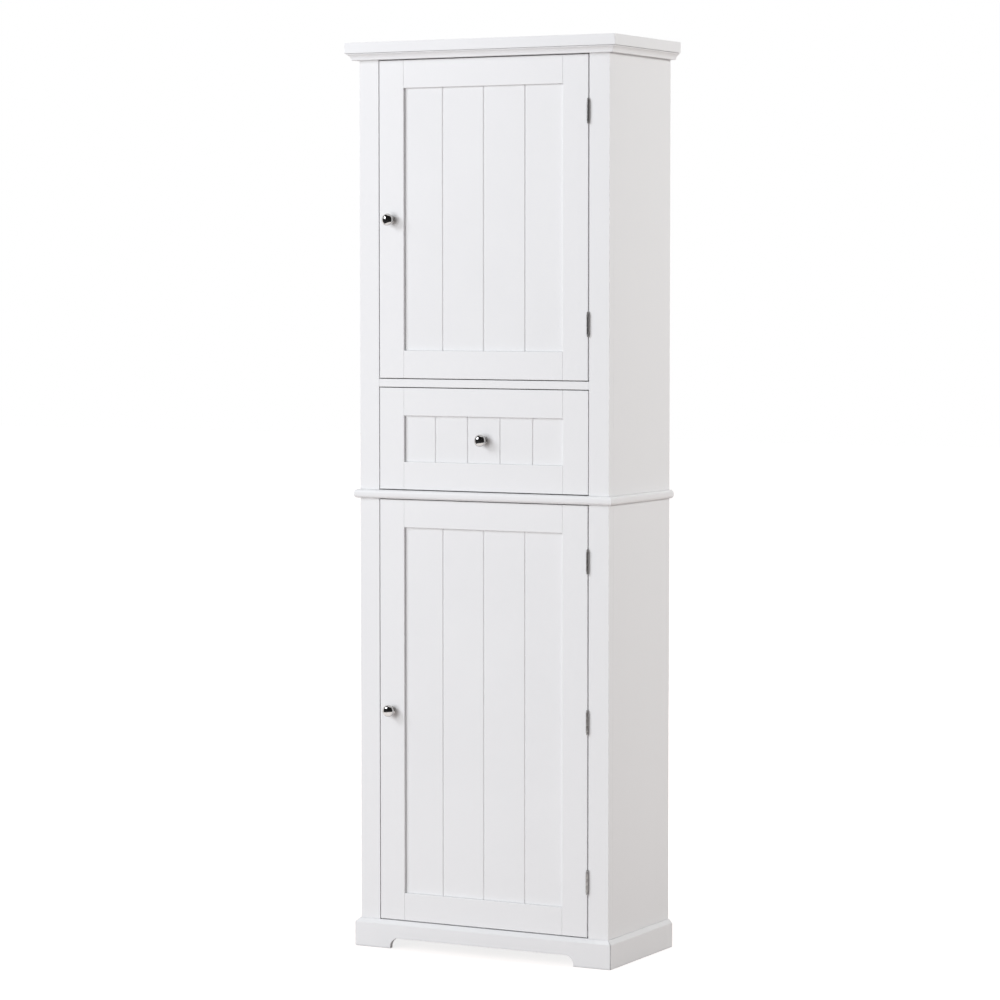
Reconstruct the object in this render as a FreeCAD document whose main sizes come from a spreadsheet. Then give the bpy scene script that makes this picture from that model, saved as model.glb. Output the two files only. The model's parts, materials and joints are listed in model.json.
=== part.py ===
import FreeCAD, Part
import os
import Sketcher

# White linen cabinet: an upper door, a drawer and a lower door in a painted face-frame case.
# Sizes are in millimetres. +Z is up, the doors face -Y and the origin is on the floor, in the
# middle of the outline. The left half is built, and what is alike on the right is its mirror image.

SIZES = {
    # Case
    "overall_height": 1709,       # floor to the top of the top board
    "body_width": 524,            # across the case sides
    "body_depth": 258,            # front of the face frame to the rear edge
    "side_thickness": 15,
    "frame_thickness": 18,        # face frame, doors and drawer front
    "stile_width": 41,            # face frame stile
    "top_thickness": 20,
    "top_overhang": 21,
    "crown_height": 12.6,
    "crown_brow": 18.8,           # how far the crown stands out at its top
    "crown_base": 11.5,           # and at its bottom
    "crown_nose": 2,              # flat above its hollow
    "lower_height": 854,          # floor to the underside of the waist board
    "waist_thickness": 16.5,
    "waist_overhang": 9.5,
    "waist_rounding": 6.5,
    "drawer_opening": 194,        # clear height of the drawer opening
    "divider_thickness": 15,
    "bottom_thickness": 15,
    "plinth_height": 53,
    "plinth_thickness": 9,
    "plinth_chamfer": 7,
    "plinth_joint": 0.5,          # each plinth board stops this far before its mitre
    "foot_width": 77,
    "arch_height": 20,            # cut-out between the feet
    "arch_radius": 17,
    "toe_rail_height": 31,
    "back_thickness": 5,
    "back_groove_depth": 6,
    "back_play": 0.2,
    "wall_rail_height": 60,
    "wall_rail_thickness": 15,
    "wall_hole_diameter": 5.5,
    "wall_hole_inset": 47,        # from the ends of the wall rail
    "overshoot": 2,               # how far a cutter runs past the face it opens
    # Shelves and their pins
    "shelf_thickness": 15,
    "shelf_end_play": 2,
    "shelf_setback": 22,
    "upper_shelf_level": 300,     # divider to the underside of the upper shelf
    "lower_shelf_level": 400,     # bottom panel to the underside of the lower shelf
    "shelf_pin_diameter": 5,
    "shelf_pin_reach": 9,
    "shelf_pin_seat": 9,
    "shelf_pin_flange": 7,
    "shelf_pin_flange_thickness": 1.5,
    "shelf_pin_inset": 45,        # from the front and the back of the space inside
    "shelf_pin_pitch": 32,
    "shelf_pin_play": 0.1,
    # Dowels and cam fittings at the board joints
    "joint_inset": 36,
    "joint_stagger": 16,          # keeps the joints under the waist board clear of those above it
    "dowel_diameter": 8,
    "dowel_length": 30,
    "dowel_in_face": 8,
    "dowel_play": 0.1,
    "cam_setback": 24,
    "cam_lock_diameter": 15,
    "cam_lock_skin": 3,           # wood left behind a lock
    "cam_recess_diameter": 5,
    "cam_recess_depth": 3,
    "cam_thread_diameter": 5,
    "cam_thread_depth": 9,
    "cam_shank_diameter": 6,
    "cam_head_diameter": 7.2,
    "cam_head_length": 3,
    "cam_play": 0.2,
    # Doors and drawer front
    "door_gap": 1.6,
    "door_stile_width": 52,
    "door_rail_width": 52,
    "panel_recess": 6,
    "panel_thickness": 6,
    "panel_groove_depth": 8,
    "panel_play": 0.2,
    "door_board_pitch": 86.5,
    "drawer_board_pitch": 68.3,
    "vee_width": 3.6,
    "vee_depth": 1.8,
    # Hinges
    "leaf_thickness": 1.1,
    "leaf_play": 0.2,             # between the two leaves of a closed hinge
    "leaf_width": 14,
    "hinge_height": 36,
    "hinge_inset": 103,           # door end to the middle of the outer hinges
    "knuckle_diameter": 5.2,
    "knuckle_standoff": 0.4,      # between the knuckles and the face frame
    "knuckle_play": 0.3,
    "hinge_pin_diameter": 2.4,
    "hinge_pin_play": 0.16,
    "finial_height": 5,
    "finial_collar_height": 1.2,
    "finial_diameter": 4.6,
    "hinge_screw_spread": 20,
    # Knobs
    "knob_projection": 24,
    "knob_head_diameter": 23,
    "knob_head_thickness": 15,
    "knob_neck_diameter": 9,
    "knob_collar_diameter": 15.5,
    "knob_collar_height": 3.5,
    "knob_engagement": 10,        # length of the knob's screw inside the knob
    # Catches
    "catch_overlap": 14,          # how far a catch reaches past the stile
    "catch_foot": 20,
    "catch_depth": 13,
    "catch_height": 40,
    "catch_play": 0.3,
    "catch_screw_spread": 26,
    "strike_thickness": 1,
    "strike_width": 12,
    "strike_height": 26,
    # Drawer
    "slide_width": 12.7,
    "slide_height": 35,
    "slide_gauge": 1.2,
    "slide_setback": 3,           # from the front and rear ends of the drawer box
    "slide_level": 70,            # waist board to the middle of the slides
    "flange_play": 2,             # between a flange's edge and the web it points at
    "batten_height": 45,
    "ball_diameter": 4,
    "ball_play": 0.15,
    "cage_length": 100,
    "cage_setback": 15,           # rear end of the channel to the rear end of the closed cage
    "cage_gauge": 0.8,
    "cage_standoff": 0.7,
    "box_lift": 24,               # waist board to the underside of the drawer box
    "box_height": 130,
    "box_rear_clearance": 15,     # behind the closed drawer box
    "box_thickness": 12,
    "box_bottom_thickness": 5,
    "box_bottom_lift": 8,
    "box_groove_depth": 6,
    "box_play": 0.2,
    "box_screw_inset": 20,        # from the top and bottom edges of the drawer box
    # Screws
    "wood_screw_diameter": 3.5,
    "wood_screw_head": 7,
    "wood_screw_head_height": 2.5,
    "leaf_screw_diameter": 2.6,
    "leaf_screw_head": 4.8,
    "knob_screw_diameter": 4,
    "knob_screw_head": 8,
    "knob_screw_head_height": 2.2,
    "screw_bite": 12,             # length of a screw in the piece it holds to
    "screw_skin": 3,              # wood left in front of a screw's tip in a case side
    "screw_play": 0.1,
}

DOOR_GROOVE_COUNT = 3
DRAWER_GROOVE_COUNT = 4
PIN_HOLE_ROWS = 5
BALLS_PER_ROW = 5

X_AXIS = FreeCAD.Vector(1, 0, 0)
Y_AXIS = FreeCAD.Vector(0, 1, 0)
Z_AXIS = FreeCAD.Vector(0, 0, 1)
UPRIGHT = FreeCAD.Rotation()
TURNS = {
    "+X": FreeCAD.Rotation(Y_AXIS, 90),
    "-X": FreeCAD.Rotation(Y_AXIS, -90),
    "+Y": FreeCAD.Rotation(X_AXIS, -90),
    "-Y": FreeCAD.Rotation(X_AXIS, 90),
    "+Z": UPRIGHT,
    "-Z": FreeCAD.Rotation(X_AXIS, 180),
}
OPPOSITE = {"+X": "-X", "-X": "+X", "+Y": "-Y", "-Y": "+Y", "+Z": "-Z", "-Z": "+Z"}

# Planes that the pieces share, as expressions of the sizes
PROUD = "max(dims.knob_projection; dims.top_overhang)"
FRONT = f"(({PROUD} - dims.body_depth) / 2)"
REAR = f"(({PROUD} + dims.body_depth) / 2)"
INSIDE = f"({FRONT} + dims.frame_thickness)"
BACK_FACE = f"({REAR} - dims.wall_rail_thickness - dims.back_thickness)"
HALF_BODY = "(dims.body_width / 2)"
HALF_INSIDE = "(dims.body_width / 2 - dims.side_thickness)"
HALF_OPENING = "(dims.body_width / 2 - dims.stile_width)"
SIDE_MIDDLE = "(dims.body_width / 2 - dims.side_thickness / 2)"
TOP_UNDERSIDE = "(dims.overall_height - dims.top_thickness)"
CROWN_FOOT = f"({TOP_UNDERSIDE} - dims.crown_height)"
WAIST_TOP = "(dims.lower_height + dims.waist_thickness)"
DIVIDER_UNDERSIDE = f"({WAIST_TOP} + dims.drawer_opening)"
DIVIDER_TOP = f"({DIVIDER_UNDERSIDE} + dims.divider_thickness)"
BOTTOM_UNDERSIDE = "(dims.plinth_height - dims.bottom_thickness)"
HINGE_EDGE = f"({HALF_OPENING} - 2 * dims.leaf_thickness - dims.leaf_play)"
HINGE_X = f"({HALF_OPENING} - dims.leaf_thickness - dims.leaf_play / 2)"
HINGE_Y = f"({FRONT} - dims.knuckle_diameter / 2 - dims.knuckle_standoff)"
KNOB_EDGE = f"(dims.door_gap - {HALF_OPENING})"
KNOB_X = f"({KNOB_EDGE} + dims.door_stile_width / 2)"
DRAWER_EDGE = f"({HALF_OPENING} - dims.door_gap)"
UPPER_DOOR = (f"({DIVIDER_TOP} + dims.door_gap)", f"({CROWN_FOOT} - dims.door_gap)")
LOWER_DOOR = ("(dims.plinth_height + dims.door_gap)", "(dims.lower_height - dims.door_gap)")
DRAWER_FRONT = (f"({WAIST_TOP} + dims.door_gap)", f"({DIVIDER_UNDERSIDE} - dims.door_gap)")
SLIDE_Z = f"({WAIST_TOP} + dims.slide_level)"
BOX_OUTER = f"({HALF_OPENING} - dims.slide_width)"
BOX_INNER = f"({BOX_OUTER} - dims.box_thickness)"
BOX_FLOOR = f"({WAIST_TOP} + dims.box_lift)"
BOX_REAR = f"({BACK_FACE} - dims.box_rear_clearance)"
SLIDE_FRONT = f"({INSIDE} + dims.slide_setback)"
SLIDE_LENGTH = f"({BOX_REAR} - dims.slide_setback - {SLIDE_FRONT})"

doc = FreeCAD.newDocument("linen_cabinet")
sheet = doc.addObject("Spreadsheet::Sheet", "dims")
for row, (size_name, millimetres) in enumerate(SIZES.items(), start=1):
    sheet.set(f"A{row}", size_name)
    sheet.set(f"B{row}", str(millimetres))
    sheet.setAlias(f"B{row}", size_name)
doc.recompute()

nodes = {}
dowels = []
cam_bolts = []
cam_locks = []
shelf_pins = []
screws = {"cabinet": [], "upper_door": [], "lower_door": [], "drawer": []}


# Building blocks

def middle(span):
    return f"(({span[0]} + {span[1]}) / 2)"


def shift(point, along, distance):
    """Moves a point of expressions along an axis such as "-X"."""
    moved = list(point)
    index = "XYZ".index(along[1])
    moved[index] = f"({moved[index]} {along[0]} ({distance}))"
    return tuple(moved)


def bind(item, **expressions):
    for name, expression in expressions.items():
        item.setExpression(name, expression)
    return item


def place(item, point, rotation=UPRIGHT):
    item.Placement = FreeCAD.Placement(FreeCAD.Vector(), rotation)
    for axis, expression in zip("xyz", point):
        item.setExpression(f"Placement.Base.{axis}", expression)
    return item


def block(name, x, y, z):
    """Box between pairs of low and high planes."""
    box = doc.addObject("Part::Box", name)
    bind(box, Length=f"{x[1]} - ({x[0]})", Width=f"{y[1]} - ({y[0]})", Height=f"{z[1]} - ({z[0]})")
    return place(box, (x[0], y[0], z[0]))


def rod(name, diameter, start, along, length):
    cylinder = doc.addObject("Part::Cylinder", name)
    bind(cylinder, Radius=f"({diameter}) / 2", Height=length)
    return place(cylinder, start, TURNS[along])


def ball(name, diameter, centre, thickness, along="+Z"):
    """Ellipsoid of revolution, as thick as stated along its axis."""
    ellipsoid = doc.addObject("Part::Ellipsoid", name)
    ellipsoid.Angle1 = -90
    ellipsoid.Angle2 = 90
    bind(ellipsoid, Radius1=f"({thickness}) / 2", Radius2=f"({diameter}) / 2", Radius3=f"({diameter}) / 2")
    return place(ellipsoid, centre, TURNS[along])


def fuse(name, parts):
    union = doc.addObject("Part::MultiFuse", name)
    union.Shapes = parts
    union.Refine = True
    return union


def merged(name, tools):
    return tools[0] if len(tools) == 1 else fuse(name, tools)


def cut(name, base, tools):
    result = doc.addObject("Part::Cut", name)
    result.Base = base
    result.Tool = merged(f"{name}_cutters", tools)
    return result


def common(name, base, tool):
    result = doc.addObject("Part::Common", name)
    result.Base = base
    result.Tool = tool
    return result


def mirror(name, source):
    image = doc.addObject("Part::Mirroring", name)
    image.Source = source
    image.Normal = X_AXIS
    return image


def group(name, members):
    compound = doc.addObject("Part::Compound", name)
    compound.Links = members
    return compound


def cut_both(name, base, left_tools, other_tools=()):
    """Cuts a full-width board with the left-hand cutters, their mirror images and any others."""
    left = merged(f"{name}_left_cutters", left_tools)
    return cut(name, base, [left, mirror(f"{name}_right_cutters", left), *other_tools])


def pair(name, left):
    return group(name, [left, mirror(f"{name}_right", left)])


def node(name, item):
    item.Label = name
    nodes[name] = item
    return item


def extrusion(name, points, length, origin, rotation=UPRIGHT):
    """Body with one straight-sided outline in its own XY plane, padded along its own Z."""
    body = doc.addObject("PartDesign::Body", name)
    outline = body.newObject("Sketcher::SketchObject", f"{name}_outline")
    plane = next(feature for feature in body.Origin.OriginFeatures if feature.Role == "XY_Plane")
    outline.AttachmentSupport = [(plane, "")]
    outline.MapMode = "FlatFace"
    corners = []
    for expressions in points:
        x, y = (float(sheet.evalExpression(expression)) for expression in expressions)
        corners.append(FreeCAD.Vector(x, y, 0))
    for index, corner in enumerate(corners):
        outline.addGeometry(Part.LineSegment(corner, corners[(index + 1) % len(corners)]), False)
    for index in range(len(corners)):
        outline.addConstraint(Sketcher.Constraint("Coincident", index, 2, (index + 1) % len(corners), 1))
    for index, (corner, expressions) in enumerate(zip(corners, points)):
        for kind, value, expression in zip(("DistanceX", "DistanceY"), corner, expressions):
            number = outline.addConstraint(Sketcher.Constraint(kind, -1, 1, index, 1, value))
            outline.setExpression(f"Constraints[{number}]", expression)
    pad = body.newObject("PartDesign::Pad", f"{name}_pad")
    pad.Profile = outline
    pad.setExpression("Length", length)
    return place(body, origin, rotation)


def wedge(name, low_face, high_face, y, z, rotation=UPRIGHT, origin=("0", "0", "0")):
    """Solid between two faces across y, each given as a low and a high x."""
    solid = doc.addObject("Part::Wedge", name)
    bind(solid, Xmin=low_face[0], Xmax=low_face[1], X2min=high_face[0], X2max=high_face[1])
    bind(solid, Ymin=y[0], Ymax=y[1], Zmin=z[0], Zmax=z[1], Z2min=z[0], Z2max=z[1])
    return place(solid, origin, rotation)


def mitred_front(name, reach, z, short=None):
    """Front length of a moulding that stands out by reach, mitred at both ends.

    With short set, each end stops that far before its mitre and leaves an open joint.
    """
    half = f"({HALF_BODY} - {short})" if short else HALF_BODY
    outer = (f"-({half} + {reach})", f"{half} + {reach}")
    return wedge(name, outer, (f"-{half}", half), (f"{FRONT} - {reach}", FRONT), z)


def mitred_return(name, reach, z, short=None):
    """Left-hand return of the same moulding, mitred at the front and square at the rear."""
    start = f"({FRONT} + {short})" if short else FRONT
    outer = (f"{start} - {reach}", REAR)
    across = (HALF_BODY, f"{HALF_BODY} + {reach}")
    return wedge(name, (start, REAR), outer, across, z, FreeCAD.Rotation(Z_AXIS, 90))


# Screws, dowels and cam fittings

def screw(owner, name, start, along, through, bite="dims.screw_bite", kind="wood"):
    """Flush screw from a surface point: adds it to its owner and returns its seat and its pilot hole.

    through is the thickness that the screw passes before it bites.
    """
    diameter = f"dims.{kind}_screw_diameter"
    head = f"dims.{kind}_screw_head"
    head_height = "dims.leaf_thickness" if kind == "leaf" else f"dims.{kind}_screw_head_height"
    length = f"{through} + {bite}"
    head_rod = rod(f"{name}_head", head, start, along, head_height)
    shank = rod(f"{name}_shank", diameter, start, along, length)
    screws[owner].append(fuse(name, [head_rod, shank]))
    play = "2 * dims.screw_play"
    seat = rod(f"{name}_seat", f"{head} + {play}", start, along, head_height)
    pilot = rod(f"{name}_pilot", f"{diameter} + {play}", start, along, f"{length} + dims.screw_play")
    return seat, pilot


def dowel_joint(name, point, toward):
    """Dowel from a board's end into the face it meets; returns the hole in the face and in the end."""
    back = OPPOSITE[toward]
    in_end = "(dims.dowel_length - dims.dowel_in_face)"
    dowels.append(rod(name, "dims.dowel_diameter", shift(point, back, in_end), toward, "dims.dowel_length"))
    hole = "dims.dowel_diameter + dims.dowel_play"
    in_face = rod(f"{name}_face", hole, point, toward, "dims.dowel_in_face + dims.dowel_play")
    return in_face, rod(f"{name}_end", hole, point, back, f"{in_end} + dims.dowel_play")


def cam_joint(name, point, toward, lock_along, lock_surface, thickness):
    """Cam fitting: a bolt in a face, drawn in by a lock that is let into the other board's surface.

    thickness is that board's. Returns the cutter for the face and the two for the board with the lock.
    """
    back = OPPOSITE[toward]
    lock_depth = f"({thickness} - dims.cam_lock_skin)"
    centre = shift(point, back, "dims.cam_setback")
    lock_start = list(centre)
    lock_start["XYZ".index(lock_along[1])] = lock_surface
    shank_length = "(dims.cam_setback - dims.cam_head_length)"
    head_start = shift(point, back, shank_length)
    cam_bolts.append(fuse(name, [
        rod(f"{name}_thread", "dims.cam_thread_diameter", point, toward, "dims.cam_thread_depth"),
        rod(f"{name}_shank", "dims.cam_shank_diameter", point, back, shank_length),
        rod(f"{name}_head", "dims.cam_head_diameter", head_start, back, "dims.cam_head_length"),
    ]))
    channel_diameter = "dims.cam_head_diameter + 2 * dims.cam_play"
    lock_radius = "dims.cam_lock_diameter / 2"
    throat_start = shift(centre, toward, f"{lock_radius} + dims.overshoot")
    throat_length = f"{lock_radius} + dims.overshoot + dims.cam_play"
    cam_locks.append(cut(f"{name}_lock", rod(
        f"{name}_lock_blank", "dims.cam_lock_diameter", lock_start, lock_along, lock_depth), [
        rod(f"{name}_throat", channel_diameter, throat_start, back, throat_length),
        rod(f"{name}_recess", "dims.cam_recess_diameter", lock_start, lock_along, "dims.cam_recess_depth"),
    ]))
    in_face = rod(f"{name}_face", "dims.cam_thread_diameter + dims.cam_play", point, toward,
                  "dims.cam_thread_depth + dims.cam_play")
    channel = rod(f"{name}_channel", channel_diameter, point, back, "dims.cam_setback")
    seat = rod(f"{name}_seat", "dims.cam_lock_diameter + dims.cam_play", lock_start, lock_along,
               f"{lock_depth} + dims.cam_play")
    return in_face, [channel, seat]


def board_joint(name, x, z, toward, lock_along, lock_surface, thickness, stagger="0"):
    """Two cam fittings with a dowel between them, in a row from front to back."""
    face_cutters = []
    end_cutters = []
    front_y = f"({INSIDE} + dims.joint_inset + {stagger})"
    back_y = f"({BACK_FACE} - dims.joint_inset - {stagger})"
    for label, y in (("front_cam", front_y), ("back_cam", back_y)):
        in_face, in_end = cam_joint(f"{name}_{label}", (x, y, z), toward, lock_along, lock_surface, thickness)
        face_cutters.append(in_face)
        end_cutters += in_end
    dowel_y = f"{middle((INSIDE, BACK_FACE))} + {stagger}"
    in_face, in_end = dowel_joint(f"{name}_dowel", (x, dowel_y, z), toward)
    return face_cutters + [in_face], end_cutters + [in_end]


def shelf_holes(name, underside):
    """Pins under a shelf's left end, and the rows of holes that they fit in any of."""
    holes = []
    pin_z = f"({underside} - dims.shelf_pin_diameter / 2)"
    wall = f"-{HALF_INSIDE}"
    depths = (f"({INSIDE} + dims.shelf_pin_inset)", f"({BACK_FACE} - dims.shelf_pin_inset)")
    for label, y in zip(("front", "back"), depths):
        pin = f"{name}_{label}_pin"
        inner_end = (f"({wall} - dims.shelf_pin_seat)", y, pin_z)
        shelf_pins.append(fuse(pin, [
            rod(f"{pin}_stem", "dims.shelf_pin_diameter", inner_end, "+X",
                "dims.shelf_pin_seat + dims.shelf_pin_reach"),
            rod(f"{pin}_flange", "dims.shelf_pin_flange", (wall, y, pin_z), "+X",
                "dims.shelf_pin_flange_thickness"),
        ]))
        for row in range(PIN_HOLE_ROWS):
            steps = row - PIN_HOLE_ROWS // 2
            hole_z = f"({pin_z} + {steps} * dims.shelf_pin_pitch)"
            holes.append(rod(f"{name}_{label}_hole{row}", "dims.shelf_pin_diameter + 2 * dims.shelf_pin_play",
                             (wall, y, hole_z), "-X", "dims.shelf_pin_seat + dims.shelf_pin_play"))
    return holes


# Case

def back_groove(name, z):
    x = (f"-({HALF_INSIDE} + dims.back_groove_depth)", f"-{HALF_INSIDE} + dims.overshoot")
    y = (f"{BACK_FACE} - dims.back_play / 2", f"{BACK_FACE} + dims.back_thickness + dims.back_play / 2")
    return block(name, x, y, z)


def side_blank(name, z):
    return block(name, (f"-{HALF_BODY}", f"-{HALF_INSIDE}"), (INSIDE, REAR), z)


def across_inside():
    return f"-{HALF_INSIDE}", HALF_INSIDE


def across_opening():
    return f"-{HALF_OPENING}", HALF_OPENING


def build_upper_case():
    side_z = (WAIST_TOP, TOP_UNDERSIDE)
    wall = f"-{HALF_INSIDE}"
    side_x = f"-{SIDE_MIDDLE}"
    divider_z = f"({DIVIDER_UNDERSIDE} + dims.divider_thickness / 2)"
    rail_z = f"({TOP_UNDERSIDE} - dims.wall_rail_height / 2)"
    rail_y = f"({REAR} - dims.wall_rail_thickness / 2)"
    side = "dims.side_thickness"
    top_face, top_end = board_joint("top_joint", side_x, TOP_UNDERSIDE, "+Z", "-X", wall, side)
    waist_face, waist_end = board_joint("upper_waist_joint", side_x, WAIST_TOP, "-Z", "-X", wall, side)
    divider_face, divider_end = board_joint("divider_joint", wall, divider_z, "-X", "+Z", DIVIDER_UNDERSIDE,
                                            "dims.divider_thickness")
    rail_face, rail_end = dowel_joint("wall_rail_dowel", (wall, rail_y, rail_z), "-X")
    shelf_z = f"({DIVIDER_TOP} + dims.upper_shelf_level)"
    pin_holes = shelf_holes("upper_shelf", shelf_z)
    batten_pilots = build_slide_battens()

    cutters = [back_groove("upper_back_groove", side_z), *top_end, *waist_end, *divider_face, rail_face]
    left = cut("upper_side_left", side_blank("upper_side_blank", side_z), cutters + pin_holes + batten_pilots)
    node("upper_side_left", left)
    node("upper_side_right", mirror("upper_side_right", left))

    top_x = (f"-({HALF_BODY} + dims.top_overhang)", f"{HALF_BODY} + dims.top_overhang")
    top_y = (f"{FRONT} - dims.top_overhang", REAR)
    top = block("top_blank", top_x, top_y, (TOP_UNDERSIDE, "dims.overall_height"))
    node("top_board", cut_both("top_board", top, top_face))

    rail = block("frame_top_rail", across_opening(), (FRONT, INSIDE), (CROWN_FOOT, TOP_UNDERSIDE))
    node("frame_top_rail", rail)

    divider = fuse("divider_blank", [
        block("divider_board", across_inside(), (INSIDE, BACK_FACE), (DIVIDER_UNDERSIDE, DIVIDER_TOP)),
        block("divider_lip", across_opening(), (FRONT, INSIDE), (DIVIDER_UNDERSIDE, DIVIDER_TOP)),
    ])
    node("drawer_divider", cut_both("drawer_divider", divider, divider_end))

    wall_rail_z = (f"({TOP_UNDERSIDE} - dims.wall_rail_height)", TOP_UNDERSIDE)
    wall_rail_y = (f"({REAR} - dims.wall_rail_thickness)", REAR)
    wall_rail = block("wall_rail_blank", across_inside(), wall_rail_y, wall_rail_z)
    hole_start = (f"(dims.wall_hole_inset - {HALF_INSIDE})", f"{BACK_FACE} - dims.overshoot", rail_z)
    hole_length = "dims.back_thickness + dims.wall_rail_thickness + 2 * dims.overshoot"
    wall_hole = rod("wall_hole", "dims.wall_hole_diameter", hole_start, "+Y", hole_length)
    node("wall_rail", cut_both("wall_rail", wall_rail, [rail_end, wall_hole]))

    back = back_panel("upper_back_blank", (WAIST_TOP, f"{TOP_UNDERSIDE} - dims.back_play"))
    node("upper_back_panel", cut_both("upper_back_panel", back, [wall_hole]))
    node("upper_shelf", shelf("upper_shelf", shelf_z))
    return waist_face


def build_lower_case():
    side_z = ("0", "dims.lower_height")
    wall = f"-{HALF_INSIDE}"
    bottom_z = f"({BOTTOM_UNDERSIDE} + dims.bottom_thickness / 2)"
    waist_face, waist_end = board_joint("lower_waist_joint", f"-{SIDE_MIDDLE}", "dims.lower_height", "+Z", "-X",
                                        wall, "dims.side_thickness", "dims.joint_stagger")
    bottom_face, bottom_end = board_joint("bottom_joint", wall, bottom_z, "-X", "+Z", BOTTOM_UNDERSIDE,
                                          "dims.bottom_thickness")
    shelf_z = "(dims.plinth_height + dims.lower_shelf_level)"
    pin_holes = shelf_holes("lower_shelf", shelf_z)

    groove = back_groove("lower_back_groove", ("dims.plinth_height", "dims.lower_height"))
    cutters = [groove, *waist_end, *bottom_face, *pin_holes]
    left = cut("lower_side_left", side_blank("lower_side_blank", side_z), cutters)
    node("lower_side_left", left)
    node("lower_side_right", mirror("lower_side_right", left))

    bottom = block("bottom_blank", across_inside(), (INSIDE, REAR), (BOTTOM_UNDERSIDE, "dims.plinth_height"))
    node("bottom_panel", cut_both("bottom_panel", bottom, bottom_end))
    toe_z = ("(dims.plinth_height - dims.toe_rail_height)", "dims.plinth_height")
    node("frame_bottom_rail", block("frame_bottom_rail", across_opening(), (FRONT, INSIDE), toe_z))
    back_z = ("dims.plinth_height", "dims.lower_height - dims.back_play")
    node("lower_back_panel", back_panel("lower_back_panel", back_z))
    node("lower_shelf", shelf("lower_shelf", shelf_z))
    return waist_face


def back_panel(name, z):
    half = f"({HALF_INSIDE} + dims.back_groove_depth - dims.back_play)"
    return block(name, (f"-{half}", half), (BACK_FACE, f"{BACK_FACE} + dims.back_thickness"), z)


def shelf(name, underside):
    half = f"({HALF_INSIDE} - dims.shelf_end_play)"
    y = (f"({INSIDE} + dims.shelf_setback)", f"({BACK_FACE} - dims.shelf_end_play)")
    return block(name, (f"-{half}", half), y, (underside, f"({underside} + dims.shelf_thickness)"))


def build_waist_board(cutters):
    """Board between the two cases, with its front and side edges rounded over."""
    half = f"({HALF_BODY} + dims.waist_overhang)"
    low_y = f"({FRONT} - dims.waist_overhang)"
    corners = [(f"-{half}", low_y), (half, low_y), (half, REAR), (f"-{half}", REAR)]
    body = extrusion("waist_blank", corners, "dims.waist_thickness", ("0", "0", "dims.lower_height"))
    doc.recompute()
    pad = body.Tip
    box = pad.Shape.BoundBox
    rounded = []
    for number, edge in enumerate(pad.Shape.Edges, start=1):
        span = edge.BoundBox
        level = span.ZLength < box.ZLength / 2
        at_rear = span.YMin > box.Center.y and span.YLength < box.YLength / 2
        if level and not at_rear:
            rounded.append(f"Edge{number}")
    rounding = body.newObject("PartDesign::Fillet", "waist_edges")
    rounding.Base = (pad, rounded)
    rounding.setExpression("Radius", "dims.waist_rounding")
    body.Tip = rounding
    node("waist_board", cut_both("waist_board", body, cutters))


def build_crown():
    """Cove moulding under the top board: each length is hollowed by a rod and keeps a flat nose at its top."""
    base = "dims.crown_base"
    brow = "dims.crown_brow"
    rise = "(dims.crown_height - dims.crown_nose)"
    run = f"({brow} - {base})"
    radius = f"(({run} * {run} + {rise} * {rise}) / (2 * {run}))"
    axis_out = f"({base} + {radius})"
    end_out = f"({brow} + dims.overshoot)"
    z = (CROWN_FOOT, TOP_UNDERSIDE)
    front_start = (f"-({HALF_BODY} + {end_out})", f"{FRONT} - {axis_out}", CROWN_FOOT)
    front_hollow = rod("crown_front_hollow", f"2 * {radius}", front_start, "+X", f"2 * ({HALF_BODY} + {end_out})")
    node("crown_front", cut("crown_front", mitred_front("crown_front_blank", brow, z), [front_hollow]))
    return_start = (f"-({HALF_BODY} + {axis_out})", f"{FRONT} - {end_out}", CROWN_FOOT)
    return_hollow = rod("crown_return_hollow", f"2 * {radius}", return_start, "+Y",
                        f"dims.body_depth + 2 * {end_out}")
    left = cut("crown_left", mitred_return("crown_return_blank", brow, z), [return_hollow])
    node("crown_returns", pair("crown_returns", left))


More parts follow.
